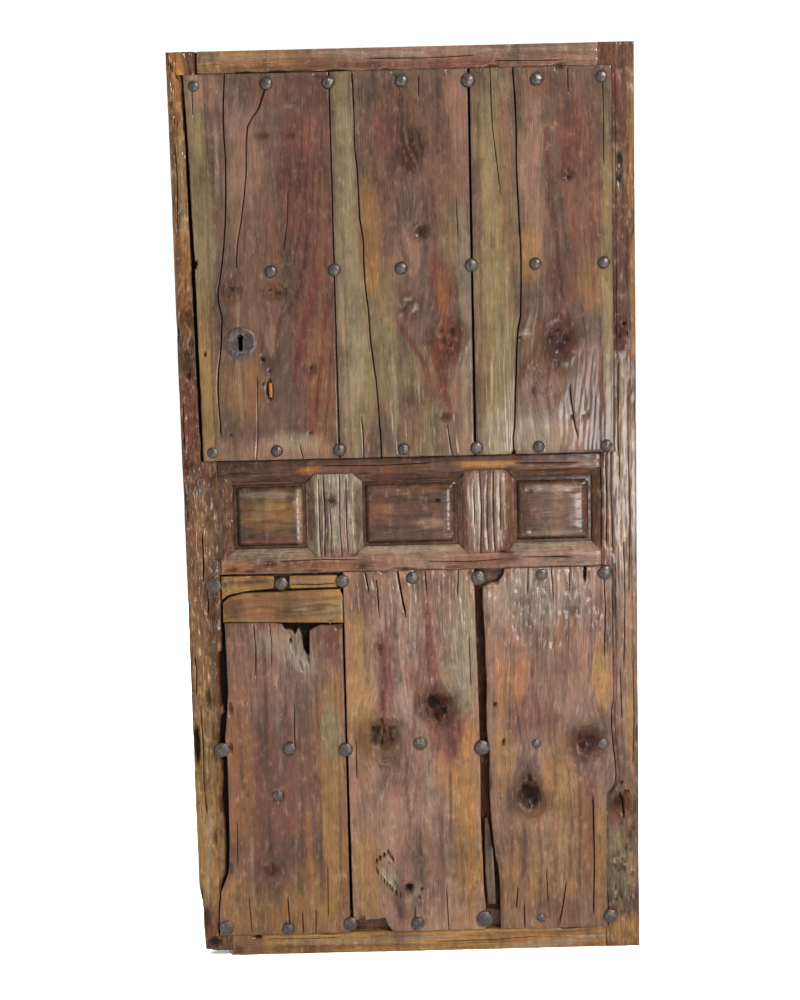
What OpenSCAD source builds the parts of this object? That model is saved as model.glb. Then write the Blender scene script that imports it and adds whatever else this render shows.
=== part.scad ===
// Old plank and panel door leaf: mortised frame, three small fielded panels across
// the middle, three wide boards above and three below, nailed on from the front.
// X runs along the width, Y from front to back, Z up. The origin is the middle of
// the bottom edge, half way through the frame's thickness.

/* [Leaf] */
// Height of the leaf
leaf_h = 1950; // [1650:10:2400]
// Width of the leaf
leaf_w = 970; // [810:10:1180]
// Thickness of the stiles and rails
frame_t = 48; // [44:1:60]

/* [Frame] */
// Width of the closing (left) stile
left_stile_w = 105; // [90:1:130]
// Width of the hanging (right) stile
right_stile_w = 96; // [85:1:120]
// Height of rail that shows above the upper boards and below the lower ones
end_rail_show = 47; // [35:1:70]
// Height of flat rail that shows between the boards and the panels
mid_rail_show = 33; // [25:1:50]
// How far the boards lap over each rail
board_lap = 40; // [30:1:50]
// Depth of the rebate that the boards sit in
rebate_d = 17; // [16:0.5:22]
// Height of each tenon
tenon_h = 52; // [40:1:56]
// Thickness of each tenon
tenon_t = 14; // [10:0.5:16]
// Gap left round each joint of the frame
joint_play = 0.2; // [0.1:0.05:0.5]

/* [Panels] */
// Height of the lower edge of the panel openings
band_z = 905; // [800:5:1000]
// Height of the panel openings
panel_h = 141; // [110:1:180]
// Width of the chamfer round each panel opening
chamfer_w = 19; // [10:1:22]
// Depth of that chamfer
chamfer_d = 16; // [8:0.5:16]
// Width of each muntin between its panel openings
muntin_w = 120; // [90:1:150]
// Distance of each muntin's middle from the middle of the leaf
muntin_x = 163; // [130:1:180]
// How far the fielded part of a panel stands in front of its edge
field_rise = 12; // [6:0.5:15]
// Width of the bevel round the field
field_bevel = 19; // [12:1:26]
// Flat margin between the opening and that bevel
field_margin = 6; // [3:0.5:12]
// Thickness of a panel at its edge
panel_edge_t = 10; // [8:0.5:12]
// Depth of the grooves that hold the panels
groove_d = 10; // [6:0.5:12]

/* [Boards] */
// Thickness of the upper boards
upper_board_t = 25; // [20:0.5:32]
// Thickness of the lower boards
lower_board_t = 22; // [20:0.5:30]
// Position of the left board joint
left_joint_x = -148; // [-180:1:-120]
// Position of the right board joint
right_joint_x = 141; // [120:1:170]
// Gap of the upper left joint
left_joint_gap = 2.6; // [1:0.2:5]
// Gap of the upper right joint
right_joint_gap = 5; // [2:0.2:8]
// Width of the hidden lap that closes an upper joint
shiplap_w = 10; // [8:1:16]
// Depth of the hidden lap
shiplap_t = 10; // [8:0.5:14]
// Middle height of the ledge behind the upper boards
upper_ledge_z = 1497; // [1440:1:1500]
// Middle height of the ledge behind the lower boards
lower_ledge_z = 465; // [430:1:500]
// Height of each ledge
ledge_h = 54; // [40:1:70]
// Thickness of each ledge
ledge_t = 24; // [20:1:28]
// Thickness of the cover strips behind the lower joints
strip_t = 10; // [8:0.5:14]

/* [Nails and plate] */
// Height of a nail's dome
dome_h = 8; // [5:0.5:12]
// Radius of a nail's shank
shank_r = 3; // [2:0.1:4]
// Radius of the iron plate round the keyhole
plate_r = 33; // [26:1:40]
// Thickness of that plate
plate_t = 2; // [1:0.2:4]
// Distance of the keyhole from the closing edge
key_backset = 135; // [125:1:150]
// Height of the keyhole's round end
key_z = 1359; // [1250:1:1400]
// Length of the keyhole's slot below its round end
key_slot_l = 28; // [20:1:36]
// Width of the keyhole's slot
key_slot_w = 9; // [6:0.5:12]

/* [Lock] */
// Height of the lock case
case_h = 94; // [88:1:120]
// Depth of the lock case
case_t = 30; // [26:1:40]
// Thickness of the lock's iron sheet
sheet_t = 2; // [1.5:0.1:3]
// Height of the bolt
bolt_h = 22; // [16:1:28]
// Thickness of the bolt
bolt_t = 12; // [8:1:16]
// How far the bolt shoots
bolt_throw = 25; // [15:1:30]
// Gap left round the sliding bolt
bolt_play = 0.4; // [0.2:0.1:1]

/* [Hidden] */
$fn = 48;

// Planes through the thickness
front_y = -frame_t / 2;
back_y = frame_t / 2;
rebate_y = front_y + rebate_d;
upper_face_y = rebate_y - upper_board_t;
lower_face_y = rebate_y - lower_board_t;
panel_y = rebate_y + 3;
panel_back_y = panel_y + panel_edge_t;
tenon_y = rebate_y + 6;
// Back face of the board behind the repair
backing_y = rebate_y + 15;
// How far a cutting shape runs past what it cuts
past = 1;

// Lines across the width
edge_l = -leaf_w / 2;
edge_r = leaf_w / 2;
inner_l = edge_l + left_stile_w;
inner_r = edge_r - right_stile_w;

// Heights of the rails
top_show_z = leaf_h - end_rail_show;
band_top_z = band_z + panel_h;
upper_flat_z = band_top_z + chamfer_w;
upper_boards_z = upper_flat_z + mid_rail_show;
lower_flat_z = band_z - chamfer_w;
lower_boards_z = lower_flat_z - mid_rail_show;
end_rail_h = end_rail_show + board_lap;
mid_rail_h = chamfer_w + mid_rail_show + board_lap;
board_play = 1;
// The lower boards' shapes were worn against this height
lower_top_z = lower_boards_z - 853;

// Where the rails' front shoulders lap over the stiles
top_lap_l = edge_l + 64;
top_lap_r = edge_r - 75;
mid_lap_l = min(edge_l + 75, inner_l - chamfer_w);
bottom_lap_l = edge_l + 68;
bottom_lap_r = edge_r - 74;

// Panel openings, left to right: [low x, high x]
openings = [
    [inner_l, -muntin_x - muntin_w / 2],
    [-muntin_x + muntin_w / 2, muntin_x - muntin_w / 2],
    [muntin_x + muntin_w / 2, inner_r]
];

// Edges of the stiles' faces beside the boards: [distance from the leaf's edge, height]
upper_stile_edge_l = [[42, upper_boards_z], [39, 1250], [36, 1500], [32, top_show_z]];
upper_stile_edge_r = [[47, upper_boards_z], [47, top_show_z]];
lower_stile_edge_l = [
    [41, end_rail_show], [42, 100], [47, 150], [63.5, 190], [65, 250], [66, 300], [59, 350],
    [64, 400], [65, 440], [58, 490], [62, 520], [67, 550], [65, 600], [65, 650], [67, 700],
    [72, 820], [72, lower_boards_z]
];
lower_stile_edge_r = [
    [69, end_rail_show], [69, 110], [72, 150], [74, 200], [74, 300], [71, 345], [51, 372],
    [49, 400], [54, 450], [58, 500], [58, 530], [54, 560], [54, lower_boards_z]
];

// Edges of the boards, from below up
upper_board_edge_l = [[47, 0], [45, 420], [39, 700], [35, 802]];
lower_board_edge_l = [
    [43, 48], [44, 100], [50, 150], [66, 188], [72, 250], [73, 350], [74, 440], [70, 490],
    [77, 550], [81, 600], [79, 700], [78, 748]
];
centre_board_edge_r = [
    [-7.5, 853], [-7.5, 820], [-6.5, 750], [-5.5, 700], [-3.5, 600], [-2, 500], [-2.5, 400],
    [-3.5, 300], [-2, 250], [0, 200], [0.5, 150], [4.5, 100], [5.5, 48]
];
right_board_edge_l = [
    [37, 48], [37, 150], [34, 190], [27, 220], [24, 250], [21, 290], [19, 320], [18, 350],
    [18, 400], [19, 440], [14, 500], [14, 550], [16, 600], [14, 650], [14, 700], [12, 740],
    [10, 780], [10, 812]
];
right_board_edge_r = [
    [55, 853], [55, 560], [60, 530], [60, 500], [56, 450], [50.5, 400], [52.5, 372], [73, 345],
    [75.5, 300], [75.5, 200], [73.5, 150], [70.5, 110], [70.5, 48]
];

// Nails: [x, z, head radius, height of the face it bears on, dome height]
nail_row_1 = leaf_h - 71;
nail_row_3 = upper_boards_z + 18;
nail_row_4 = lower_boards_z - 18;
nails_upper = [
    [edge_l + 56, nail_row_1, 12, 5], [-278, nail_row_1 + 2, 14, dome_h],
    [left_joint_x - 2, nail_row_1 + 1, 14, dome_h], [2, nail_row_1 + 1, 14, dome_h],
    [right_joint_x - 1, nail_row_1 - 1, 15.5, dome_h + 1], [282, nail_row_1 - 2, 14, dome_h],
    [edge_r - 69, nail_row_1, 13, 6],
    [-281, upper_ledge_z - 1, 13.5, dome_h], [left_joint_x, upper_ledge_z - 1, 14, dome_h],
    [-8, upper_ledge_z - 1, 14, dome_h], [right_joint_x - 1, upper_ledge_z + 2, 14.5, dome_h],
    [274, upper_ledge_z + 2, 13.5, dome_h], [edge_r - 67, upper_ledge_z + 1, 13.5, dome_h],
    [edge_l + 67, nail_row_3 + 1, 12, 4], [-281, nail_row_3 + 2, 13, dome_h],
    [left_joint_x + 1, nail_row_3 + 1, 14, dome_h], [-11, nail_row_3, 13, dome_h],
    [right_joint_x + 3, nail_row_3 - 2, 14, dome_h], [276, nail_row_3 - 2, 13, dome_h],
    [edge_r - 65, nail_row_3 - 3, 13, dome_h]
];
nails_lower = [
    [-281, nail_row_4 - 3, 14, dome_h], [left_joint_x - 2, nail_row_4 - 1, 14, dome_h],
    [1, nail_row_4 + 2, 13.5, dome_h], [right_joint_x + 2, nail_row_4 - 1, 16, dome_h + 1],
    [279, nail_row_4 + 3, 12.5, dome_h - 1], [edge_r - 70, nail_row_4 + 4, 15.5, dome_h + 1],
    [edge_l + 63, lower_ledge_z + 4, 16, 6], [-275, lower_ledge_z + 3, 13, 5],
    [left_joint_x - 5, lower_ledge_z - 2, 15.5, dome_h], [9, lower_ledge_z + 7, 13.5, 6],
    [right_joint_x + 2, lower_ledge_z - 5, 17, dome_h + 1], [262, lower_ledge_z, 10, 3],
    [edge_r - 78, lower_ledge_z - 3, 12, 5],
    [edge_l + 59, 67, 16, 6], [-291, 60, 13, 6], [left_joint_x - 5, 69, 15.5, dome_h],
    [-5, 66, 13.5, 7], [right_joint_x + 2, 73, 18, dome_h], [267, 71, 10, 3],
    [edge_r - 65, 73, 15.5, dome_h]
];
stile_nail = [edge_l + 58, nail_row_4 - 5, 16, 7];
sunk_nail = [-304, 362, 11, 2];
shank_l = 44;
sunk_shank_l = 18;
shank_play = 0.2;

// Back nails of the cover strips: [x, z, face that the head bears on]
strip_nail_zs = [150, 330, 560, 760];
strip_nails_at = [
    for (z = strip_nail_zs) [left_joint_x - 20, z, rebate_y + strip_t],
    for (z = strip_nail_zs) [right_joint_x - 18, z, rebate_y + strip_t],
    for (x = [inner_l + 40, left_joint_x - 72]) for (z = [640, 780]) [x, z, backing_y]
];
strip_nail_r = 1.2;
strip_nail_head_r = 4;
strip_nail_l = 22;

// The lock
key_x = edge_l + key_backset;
key_r = 6;
plate_z0 = key_z - 51;
plate_z1 = plate_z0 + case_h + 24;
plate_x0 = edge_l + 1;
plate_x1 = key_x + 64;
case_x0 = edge_l + 17;
case_x1 = plate_x1 - 10;
case_z0 = plate_z0 + 12;
case_y1 = back_y + sheet_t + case_t;
bolt_z = key_z + 19;
bolt_y = back_y + sheet_t + bolt_play;
bolt_x0 = edge_l + 1;
bolt_x1 = case_x1 - 8;

// Front outline of a plate: points in X and Z, from y0 to y1
module slab(points, y0, y1) {
    translate([0, y1, 0]) rotate([90, 0, 0]) linear_extrude(y1 - y0) polygon(points);
}

module block(x0, x1, y0, y1, z0, z1) {
    translate([x0, y0, z0]) cube([x1 - x0, y1 - y0, z1 - z0]);
}

// Round bar along Y
module pin_y(x, z, r, y0, y1) {
    translate([x, y1, z]) rotate([90, 0, 0]) cylinder(r = r, h = y1 - y0);
}

// The chamfers start this little short of the mitres' corners
chamfer_ease = 0.1;

// Sloped cuts for the chamfers beside the openings: one along the upright edge at x,
// reaching towards side (-1 left, 1 right), and one along the level edge at z
module upright_chamfer(x, side) {
    k = (chamfer_d - chamfer_ease) / chamfer_w;
    reach = chamfer_w + past;
    translate([0, 0, lower_flat_z - past]) linear_extrude(upper_flat_z - lower_flat_z + 2 * past)
        polygon([
            [x - side * past, front_y - chamfer_ease + chamfer_d + past * k],
            [x - side * past, front_y - 2 * past], [x + side * reach, front_y - 2 * past],
            [x + side * reach, front_y - chamfer_ease - past * k]
        ]);
}

module level_chamfer(z, side) {
    k = (chamfer_d - chamfer_ease) / chamfer_w;
    reach = chamfer_w + past;
    translate([inner_l - chamfer_w - past, 0, 0]) rotate([90, 0, 90])
        linear_extrude(inner_r - inner_l + 2 * (chamfer_w + past)) polygon([
            [front_y - chamfer_ease + chamfer_d + past * k, z - side * past],
            [front_y - 2 * past, z - side * past], [front_y - 2 * past, z + side * reach],
            [front_y - chamfer_ease - past * k, z + side * reach]
        ]);
}

// Bores that the nail shanks leave in whatever they pass
module nail_bores() {
    for (n = nails_upper)
        pin_y(n[0], n[1], shank_r + shank_play, upper_face_y - past, upper_face_y + shank_l + past);
    for (n = nails_lower)
        pin_y(n[0], n[1], shank_r + shank_play, lower_face_y - past, lower_face_y + shank_l + past);
    pin_y(stile_nail[0], stile_nail[1], shank_r + shank_play, front_y - past, front_y + shank_l);
    pin_y(sunk_nail[0], sunk_nail[1], shank_r + shank_play, lower_face_y - past,
          lower_face_y + sunk_shank_l + past);
}

module strip_nail_bores() {
    for (s = strip_nails_at)
        pin_y(s[0], s[1], strip_nail_r + shank_play, s[2] - strip_nail_l - past, s[2] + past);
}

// Empty nail hole at the edge of the closing stile
module lost_nail_hole() {
    pin_y(edge_l + 42, upper_ledge_z + 18, 8, upper_face_y - past, upper_face_y + 38);
}

module mortise(z0, h) {
    for (x = [[edge_l - past, inner_l + past], [inner_r - past, edge_r + past]])
        block(x[0], x[1], tenon_y - joint_play, tenon_y + tenon_t + joint_play,
              z0 - joint_play, z0 + h + joint_play);
}

// Lowest height of each rail's tenon, from below up
tenon_zs = [
    25, lower_boards_z - board_lap + 8, upper_boards_z + board_lap - 8 - tenon_h, leaf_h - 25 - tenon_h
];

module mortises() {
    for (z = tenon_zs) mortise(z, tenon_h);
}

// Shallow mortise for the end of a ledge
module ledge_mortises(z) {
    for (x = [[inner_l - 20 - joint_play, inner_l + past], [inner_r - past, inner_r + 20 + joint_play]])
        block(x[0], x[1], rebate_y + 3 - joint_play, rebate_y + ledge_t + joint_play,
              z - 18 - joint_play, z + 18 + joint_play);
}

module stile_groove(x0, x1) {
    block(x0, x1, panel_y - joint_play, panel_back_y + joint_play,
          band_z - groove_d, band_top_z + groove_d);
}

module left_stile() {
    color("#7a5538") difference() {
        union() {
            slab([
                [edge_l + 10, 16], [edge_l + 38, 12], [inner_l, 12], [inner_l, leaf_h],
                [edge_l, leaf_h], [edge_l, 160], [edge_l + 4, 140], [edge_l + 7, 100],
                [edge_l + 8, 60]
            ], front_y, back_y);
            block(edge_l + 10, inner_l, back_y - 12, back_y, 0, 20);
        }
        // rebates for the boards
        slab(concat([for (p = upper_stile_edge_l) [edge_l + p[0], p[1]]],
                    [[inner_l + past, top_show_z], [inner_l + past, upper_boards_z]]),
             front_y - past, rebate_y);
        slab(concat([for (p = lower_stile_edge_l) [edge_l + p[0], p[1]]],
                    [[inner_l + past, lower_boards_z], [inner_l + past, end_rail_show]]),
             front_y - past, rebate_y);
        // laps of the rails' front shoulders
        block(top_lap_l - joint_play, inner_l + past, front_y - past, rebate_y, top_show_z, leaf_h + past);
        block(bottom_lap_l - joint_play, inner_l + past, front_y - past, rebate_y, -past, end_rail_show);
        for (z = [upper_flat_z, lower_boards_z])
            block(mid_lap_l - joint_play, inner_l + past, front_y - past, rebate_y, z, z + mid_rail_show);
        for (s = [[upper_flat_z, band_top_z], [lower_flat_z, band_z]])
            slab([[inner_l - chamfer_w, s[0]], [inner_l, s[1]], [inner_l + past, s[1]],
                  [inner_l + past, s[0]]], front_y - past, rebate_y);
        // rotted foot
        block(edge_l + 38, bottom_lap_l, front_y - past, back_y - 12, -past, 50);
        upright_chamfer(inner_l, -1);
        stile_groove(inner_l - groove_d, inner_l + past);
        mortises();
        ledge_mortises(upper_ledge_z);
        ledge_mortises(lower_ledge_z);
        nail_bores();
        lost_nail_hole();
        lock_nail_bores();
    }
}

module right_stile() {
    color("#74543d") difference() {
        block(inner_r, edge_r, front_y, back_y, 0, leaf_h);
        slab(concat([for (p = upper_stile_edge_r) [edge_r - p[0], p[1]]],
                    [[inner_r - past, top_show_z], [inner_r - past, upper_boards_z]]),
             front_y - past, rebate_y);
        slab(concat([for (p = lower_stile_edge_r) [edge_r - p[0], p[1]]],
                    [[inner_r - past, lower_boards_z], [inner_r - past, end_rail_show]]),
             front_y - past, rebate_y);
        block(inner_r - past, top_lap_r + joint_play, front_y - past, rebate_y, top_show_z, leaf_h + past);
        block(inner_r - past, bottom_lap_r + joint_play, front_y - past, rebate_y, -past, end_rail_show);
        for (z = [upper_flat_z, lower_boards_z])
            block(inner_r - past, inner_r + chamfer_w, front_y - past, rebate_y, z, z + mid_rail_show);
        for (s = [[upper_flat_z, band_top_z], [lower_flat_z, band_z]])
            slab([[inner_r + chamfer_w, s[0]], [inner_r, s[1]], [inner_r - past, s[1]],
                  [inner_r - past, s[0]]], front_y - past, rebate_y);
        upright_chamfer(inner_r, 1);
        stile_groove(inner_r - past, inner_r + groove_d);
        mortises();
        ledge_mortises(upper_ledge_z);
        ledge_mortises(lower_ledge_z);
        nail_bores();
    }
}

// Through tenons at both ends of a rail, each with two saw kerfs for its wedges
kerf_w = 3;
kerf_l = 42;
kerf_inset = 9;
// The lowest tenon has lost its end with the corner of the leaf
function tenon_end_l(z0) = z0 == tenon_zs[0] ? edge_l + 12 : edge_l;
module tenons(z0) {
    end_l = tenon_end_l(z0);
    difference() {
        block(end_l, edge_r, tenon_y, tenon_y + tenon_t, z0, z0 + tenon_h);
        for (z = [z0 + kerf_inset, z0 + tenon_h - kerf_inset - kerf_w]) {
            block(end_l - past, end_l + kerf_l, tenon_y - past, tenon_y + tenon_t + past, z, z + kerf_w);
            block(edge_r - kerf_l, edge_r + past, tenon_y - past, tenon_y + tenon_t + past, z, z + kerf_w);
        }
    }
}

module end_rail(z0, show_z0, lap_l, lap_r, tenon_z) {
    difference() {
        union() {
            block(lap_l, lap_r, front_y, rebate_y, show_z0, show_z0 + end_rail_show);
            block(inner_l, inner_r, rebate_y, back_y, z0, z0 + end_rail_h);
            tenons(tenon_z);
        }
        nail_bores();
    }
}

module top_rail() {
    color("#86583a") end_rail(leaf_h - end_rail_h, top_show_z, top_lap_l, top_lap_r, tenon_zs[3]);
}

module bottom_rail() {
    color("#a0703c") end_rail(0, 0, bottom_lap_l, bottom_lap_r, tenon_zs[0]);
}

// A rail beside the panels. flat_z is the line where its chamfers start, open_z the
// openings' edge, and board_z the line where the boards begin.
module mid_rail(flat_z, open_z, board_z, tenon_z) {
    up = board_z > open_z;
    body_z0 = up ? open_z : board_z - board_lap;
    difference() {
        union() {
            slab([
                [mid_lap_l, board_z], [mid_lap_l, flat_z], [inner_l - chamfer_w, flat_z],
                for (i = [0:2]) each [
                    [openings[i][0], open_z], [openings[i][1], open_z],
                    [openings[i][1] + chamfer_w, flat_z],
                    if (i < 2) [openings[i + 1][0] - chamfer_w, flat_z]
                ],
                [inner_r + chamfer_w, board_z]
            ], front_y, rebate_y);
            block(inner_l, inner_r, rebate_y, back_y, body_z0, body_z0 + mid_rail_h);
            tenons(tenon_z);
        }
        level_chamfer(open_z, up ? 1 : -1);
        // groove for the panels, and mortises for the muntins
        block(inner_l - past, inner_r + past, panel_y - joint_play, panel_back_y + joint_play,
              up ? open_z - past : open_z - groove_d, up ? open_z + groove_d : open_z + past);
        for (s = [-1, 1])
            block(s * muntin_x - muntin_w / 4 - joint_play, s * muntin_x + muntin_w / 4 + joint_play,
                  panel_y - joint_play, panel_back_y + joint_play,
                  up ? open_z - past : open_z - muntin_tenon_l - joint_play,
                  up ? open_z + muntin_tenon_l + joint_play : open_z + past);
        nail_bores();
    }
}
muntin_tenon_l = 26;

module upper_mid_rail() {
    color("#7d4f36") mid_rail(upper_flat_z, band_top_z, upper_boards_z, tenon_zs[2]);
}

module lower_mid_rail() {
    color("#8a5c40") mid_rail(lower_flat_z, band_z, lower_boards_z, tenon_zs[1]);
}

module muntin(x) {
    a = x - muntin_w / 2;
    b = x + muntin_w / 2;
    difference() {
        union() {
            slab([
                [a, band_z], [a, band_top_z], [a + chamfer_w, upper_flat_z],
                [b - chamfer_w, upper_flat_z], [b, band_top_z], [b, band_z],
                [b - chamfer_w, lower_flat_z], [a + chamfer_w, lower_flat_z]
            ], front_y, rebate_y);
            block(a, b, rebate_y, back_y, band_z, band_top_z);
            block(x - muntin_w / 4, x + muntin_w / 4, panel_y, panel_back_y,
                  band_z - muntin_tenon_l, band_top_z + muntin_tenon_l);
        }
        upright_chamfer(a, 1);
        upright_chamfer(b, -1);
        for (e = [[a - past, a + groove_d], [b - groove_d, b + past]])
            block(e[0], e[1], panel_y - joint_play, panel_back_y + joint_play,
                  band_z - past, band_top_z + past);
    }
}

module left_muntin() { color("#93806a") muntin(-muntin_x); }
module right_muntin() { color("#8d7561") muntin(muntin_x); }

// A fielded panel: a thin edge held in the grooves and a bevelled field in front
module panel(o) {
    tongue = groove_d - 1;
    x0 = o[0] + field_margin;
    x1 = o[1] - field_margin;
    z0 = band_z + field_margin;
    z1 = band_top_z - field_margin;
    block(o[0] - tongue, o[1] + tongue, panel_y, panel_back_y, band_z - tongue, band_top_z + tongue);
    intersection() {
        translate([0, 0, z0]) linear_extrude(z1 - z0) polygon([
            [x0, panel_y], [x1, panel_y], [x1 - field_bevel, panel_y - field_rise],
            [x0 + field_bevel, panel_y - field_rise]
        ]);
        translate([x0, 0, 0]) rotate([90, 0, 90]) linear_extrude(x1 - x0) polygon([
            [panel_y, z0], [panel_y, z1], [panel_y - field_rise, z1 - field_bevel],
            [panel_y - field_rise, z0 + field_bevel]
        ]);
    }
}

module left_panel() { color("#704a2c") panel(openings[0]); }
module centre_panel() { color("#6c4330") panel(openings[1]); }
module right_panel() { color("#7b5038") panel(openings[2]); }

// An upper board between x0 and x1 lines, given as front outline points. The lap on
// its right edge takes the tongue of the next board.
module upper_board(points, lap_x, tongue_x) {
    z0 = upper_boards_z + board_play;
    z1 = top_show_z - board_play;
    difference() {
        union() {
            slab(points, upper_face_y, rebate_y);
            if (!is_undef(tongue_x))
                block(tongue_x - shiplap_w, tongue_x + shiplap_w, rebate_y - shiplap_t + 0.3, rebate_y, z0, z1);
        }
        if (!is_undef(lap_x))
            block(lap_x, lap_x + 40, rebate_y - shiplap_t, rebate_y + past, z0 - past, z1 + past);
        nail_bores();
    }
}

module upper_left_board() {
    z0 = upper_boards_z + board_play;
    z1 = top_show_z - board_play;
    right = left_joint_x - left_joint_gap / 2;
    color("#7c6049") difference() {
        upper_board([
            for (p = upper_board_edge_l) [edge_l + p[0], min(z0 + p[1], z1)],
            [edge_l + 35, z1], [right, z1], [right, z0]
        ], right - shiplap_w - 2, undef);
        keyhole_cut(key_r + 0.5, key_slot_w + 1, upper_face_y - past, rebate_y + past);
        lost_nail_hole();
        slot_cut();
        plate_tack_bores();
    }
}

module upper_centre_board() {
    z0 = upper_boards_z + board_play;
    z1 = top_show_z - board_play;
    left = left_joint_x + left_joint_gap / 2;
    right = right_joint_x - right_joint_gap / 2;
    color("#7f6650") upper_board([[left, z0], [left, z1], [right, z1], [right, z0]],
                                 right - shiplap_w - 2, left);
}

module upper_right_board() {
    z0 = upper_boards_z + board_play;
    z1 = top_show_z - board_play;
    left = right_joint_x + right_joint_gap / 2;
    right = edge_r - upper_stile_edge_r[0][0] - board_play;
    color("#836a55") upper_board([[left, z0], [left, z1], [right, z1], [right, z0]], undef, left);
}

module lower_board(points) {
    difference() {
        slab([for (p = points) [p[0], p[1] > 700 ? p[1] + lower_top_z : p[1]]], lower_face_y, rebate_y);
        nail_bores();
        strip_nail_bores();
    }
}

// The broken top of the left board, below the repair
module lower_left_board() {
    j = left_joint_x;
    color("#7b4e3a") lower_board(concat(
        [for (p = lower_board_edge_l) [edge_l + p[0], p[1]]],
        [
            [j - 152, 746], [j - 136, 743], [j - 129, 731], [j - 116, 730], [j - 107, 720],
            [j - 102, 732], [j - 98, 732], [j - 92, 718], [j - 90.5, 688], [j - 81, 672],
            [j - 78, 678], [j - 76, 728], [j - 64, 734], [j - 52, 739], [j - 32, 738],
            [j - 6, 740], [j - 6, 600], [j - 6.5, 400],
            [j - 7, 48]
        ]));
}

// The middle board has a wide split at the top and a lost corner at the bottom
module lower_centre_board() {
    j = left_joint_x;
    color("#86664c") lower_board(concat(
        [[j + 1, 852], [j + 0.5, 700], [j + 0.5, 500], [j + 1.5, 300], [j + 2, 77]],
        [[-122, 76], [-76, 79], [-71, 62], [-60, 48]],
        [for (i = [len(centre_board_edge_r) - 1:-1:0])
            [right_joint_x + centre_board_edge_r[i][0], centre_board_edge_r[i][1]]],
        [[-29, 853], [-22, 790], [-35, 853], [-75, 851], [-100, 853]]));
}

// The right board has lost its top left corner and is split below the end nail
module lower_right_board() {
    j = right_joint_x;
    color("#80614e") lower_board(concat(
        [for (p = right_board_edge_l) [j + p[0], p[1]]],
        [[j + 24, 821], [j + 36, 824], [j + 45, 827], [j + 54, 836], [j + 58, 852]],
        [for (p = [[118, 852], [115, 832], [112, 832], [110, 852]]) [edge_r - p[0], p[1]]],
        [[edge_r - 79, 852], [edge_r - 73, 749], [edge_r - 72, 820], [edge_r - 73, 852]],
        [for (p = right_board_edge_r) [edge_r - p[0], p[1]]]));
}

// A ledge behind the boards, stubbed into both stiles and notched for the cover strips
module ledge(z, notched) {
    difference() {
        union() {
            block(inner_l, inner_r, rebate_y, rebate_y + ledge_t, z - ledge_h / 2, z + ledge_h / 2);
            block(inner_l - 20, inner_r + 20, rebate_y + 3, rebate_y + ledge_t, z - 18, z + 18);
        }
        if (notched)
            for (s = [left_strip, right_strip])
                block(s[0] - joint_play, s[1] + joint_play, rebate_y - past, rebate_y + strip_t + joint_play,
                      z - ledge_h / 2 - past, z + ledge_h / 2 + past);
        nail_bores();
    }
}
left_strip = [left_joint_x - 32, left_joint_x + 32];
right_strip = [right_joint_x - 27, right_joint_x + 49];

module upper_ledge() { color("#6b4a33") ledge(upper_ledge_z, false); }
module lower_ledge() { color("#6b4a33") ledge(lower_ledge_z, true); }

module cover_strip(s) {
    difference() {
        block(s[0], s[1], rebate_y, rebate_y + strip_t, end_rail_h + board_play,
              lower_boards_z - board_lap - board_play);
        nail_bores();
        strip_nail_bores();
    }
}
module left_cover_strip() { color("#5b3c28") cover_strip(left_strip); }
module right_cover_strip() { color("#5b3c28") cover_strip(right_strip); }

module patch_block() {
    color("#a27a48") translate([0, 0, lower_top_z]) difference() {
        slab([
            [edge_l + 76, 750], [edge_l + 76, 790], [edge_l + 90, 804], [edge_l + 120, 811.5],
            [left_joint_x - 9, 816], [left_joint_x - 2.5, 800], [left_joint_x - 2.5, 742.5],
            [left_joint_x - 152, 746.8]
        ], lower_face_y + 2, rebate_y);
        translate([0, 0, -lower_top_z]) strip_nail_bores();
    }
}

module left_patch_slip() {
    color("#94703f") translate([0, 0, lower_top_z]) slab([
        [edge_l + 75, 799], [edge_l + 75, 849], [left_joint_x - 150, 848],
        [left_joint_x - 148, 834], [left_joint_x - 152, 821],
        [min(edge_l + 125, left_joint_x - 160), 816], [edge_l + 90, 809]
    ], lower_face_y + 3, rebate_y);
}

module right_patch_slip() {
    color("#9b774a") translate([0, 0, lower_top_z]) slab([
        [left_joint_x - 115, 847], [left_joint_x - 15, 846], [left_joint_x - 12, 838],
        [left_joint_x - 14, 820.5], [left_joint_x - 114, 820.5], [left_joint_x - 117, 833]
    ], lower_face_y + 3, rebate_y);
}

// Board behind the repair, which the block is nailed to and which closes the hole
module patch_backing() {
    color("#3c2a1e") difference() {
        block(inner_l + board_play, left_strip[0] - board_play, rebate_y, backing_y,
              615, lower_boards_z - board_lap - board_play);
        strip_nail_bores();
    }
}

// Splinter standing in the wide part of the right joint
module loose_splinter() {
    j = right_joint_x;
    color("#6a5442") slab([
        [j + 6, 297], [j + 11, 299], [j + 17, 270], [j + 21, 240], [j + 24, 200], [j + 26, 150],
        [j + 27, 104], [j + 9, 102], [j + 6, 150], [j + 4.5, 200], [j + 5.5, 250]
    ], rebate_y - 15, rebate_y);
}

// Old slot in the upper left board and the slip of wood wedged in it
slot_x = -292;
slot_z = 1247;
slot_r = 7.5;
slot_l = 28;
slot_floor_y = upper_face_y + 18;
module slot_cut() {
    for (dz = [-slot_l / 2, slot_l / 2]) pin_y(slot_x, slot_z + dz, slot_r, upper_face_y - past, slot_floor_y);
    block(slot_x - slot_r, slot_x + slot_r, upper_face_y - past, slot_floor_y,
          slot_z - slot_l / 2, slot_z + slot_l / 2);
}
module slot_plug() {
    color("#c08a4e") block(slot_x - 2, slot_x + 6, upper_face_y + 4, slot_floor_y, slot_z - 16, slot_z + 16);
}

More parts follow.
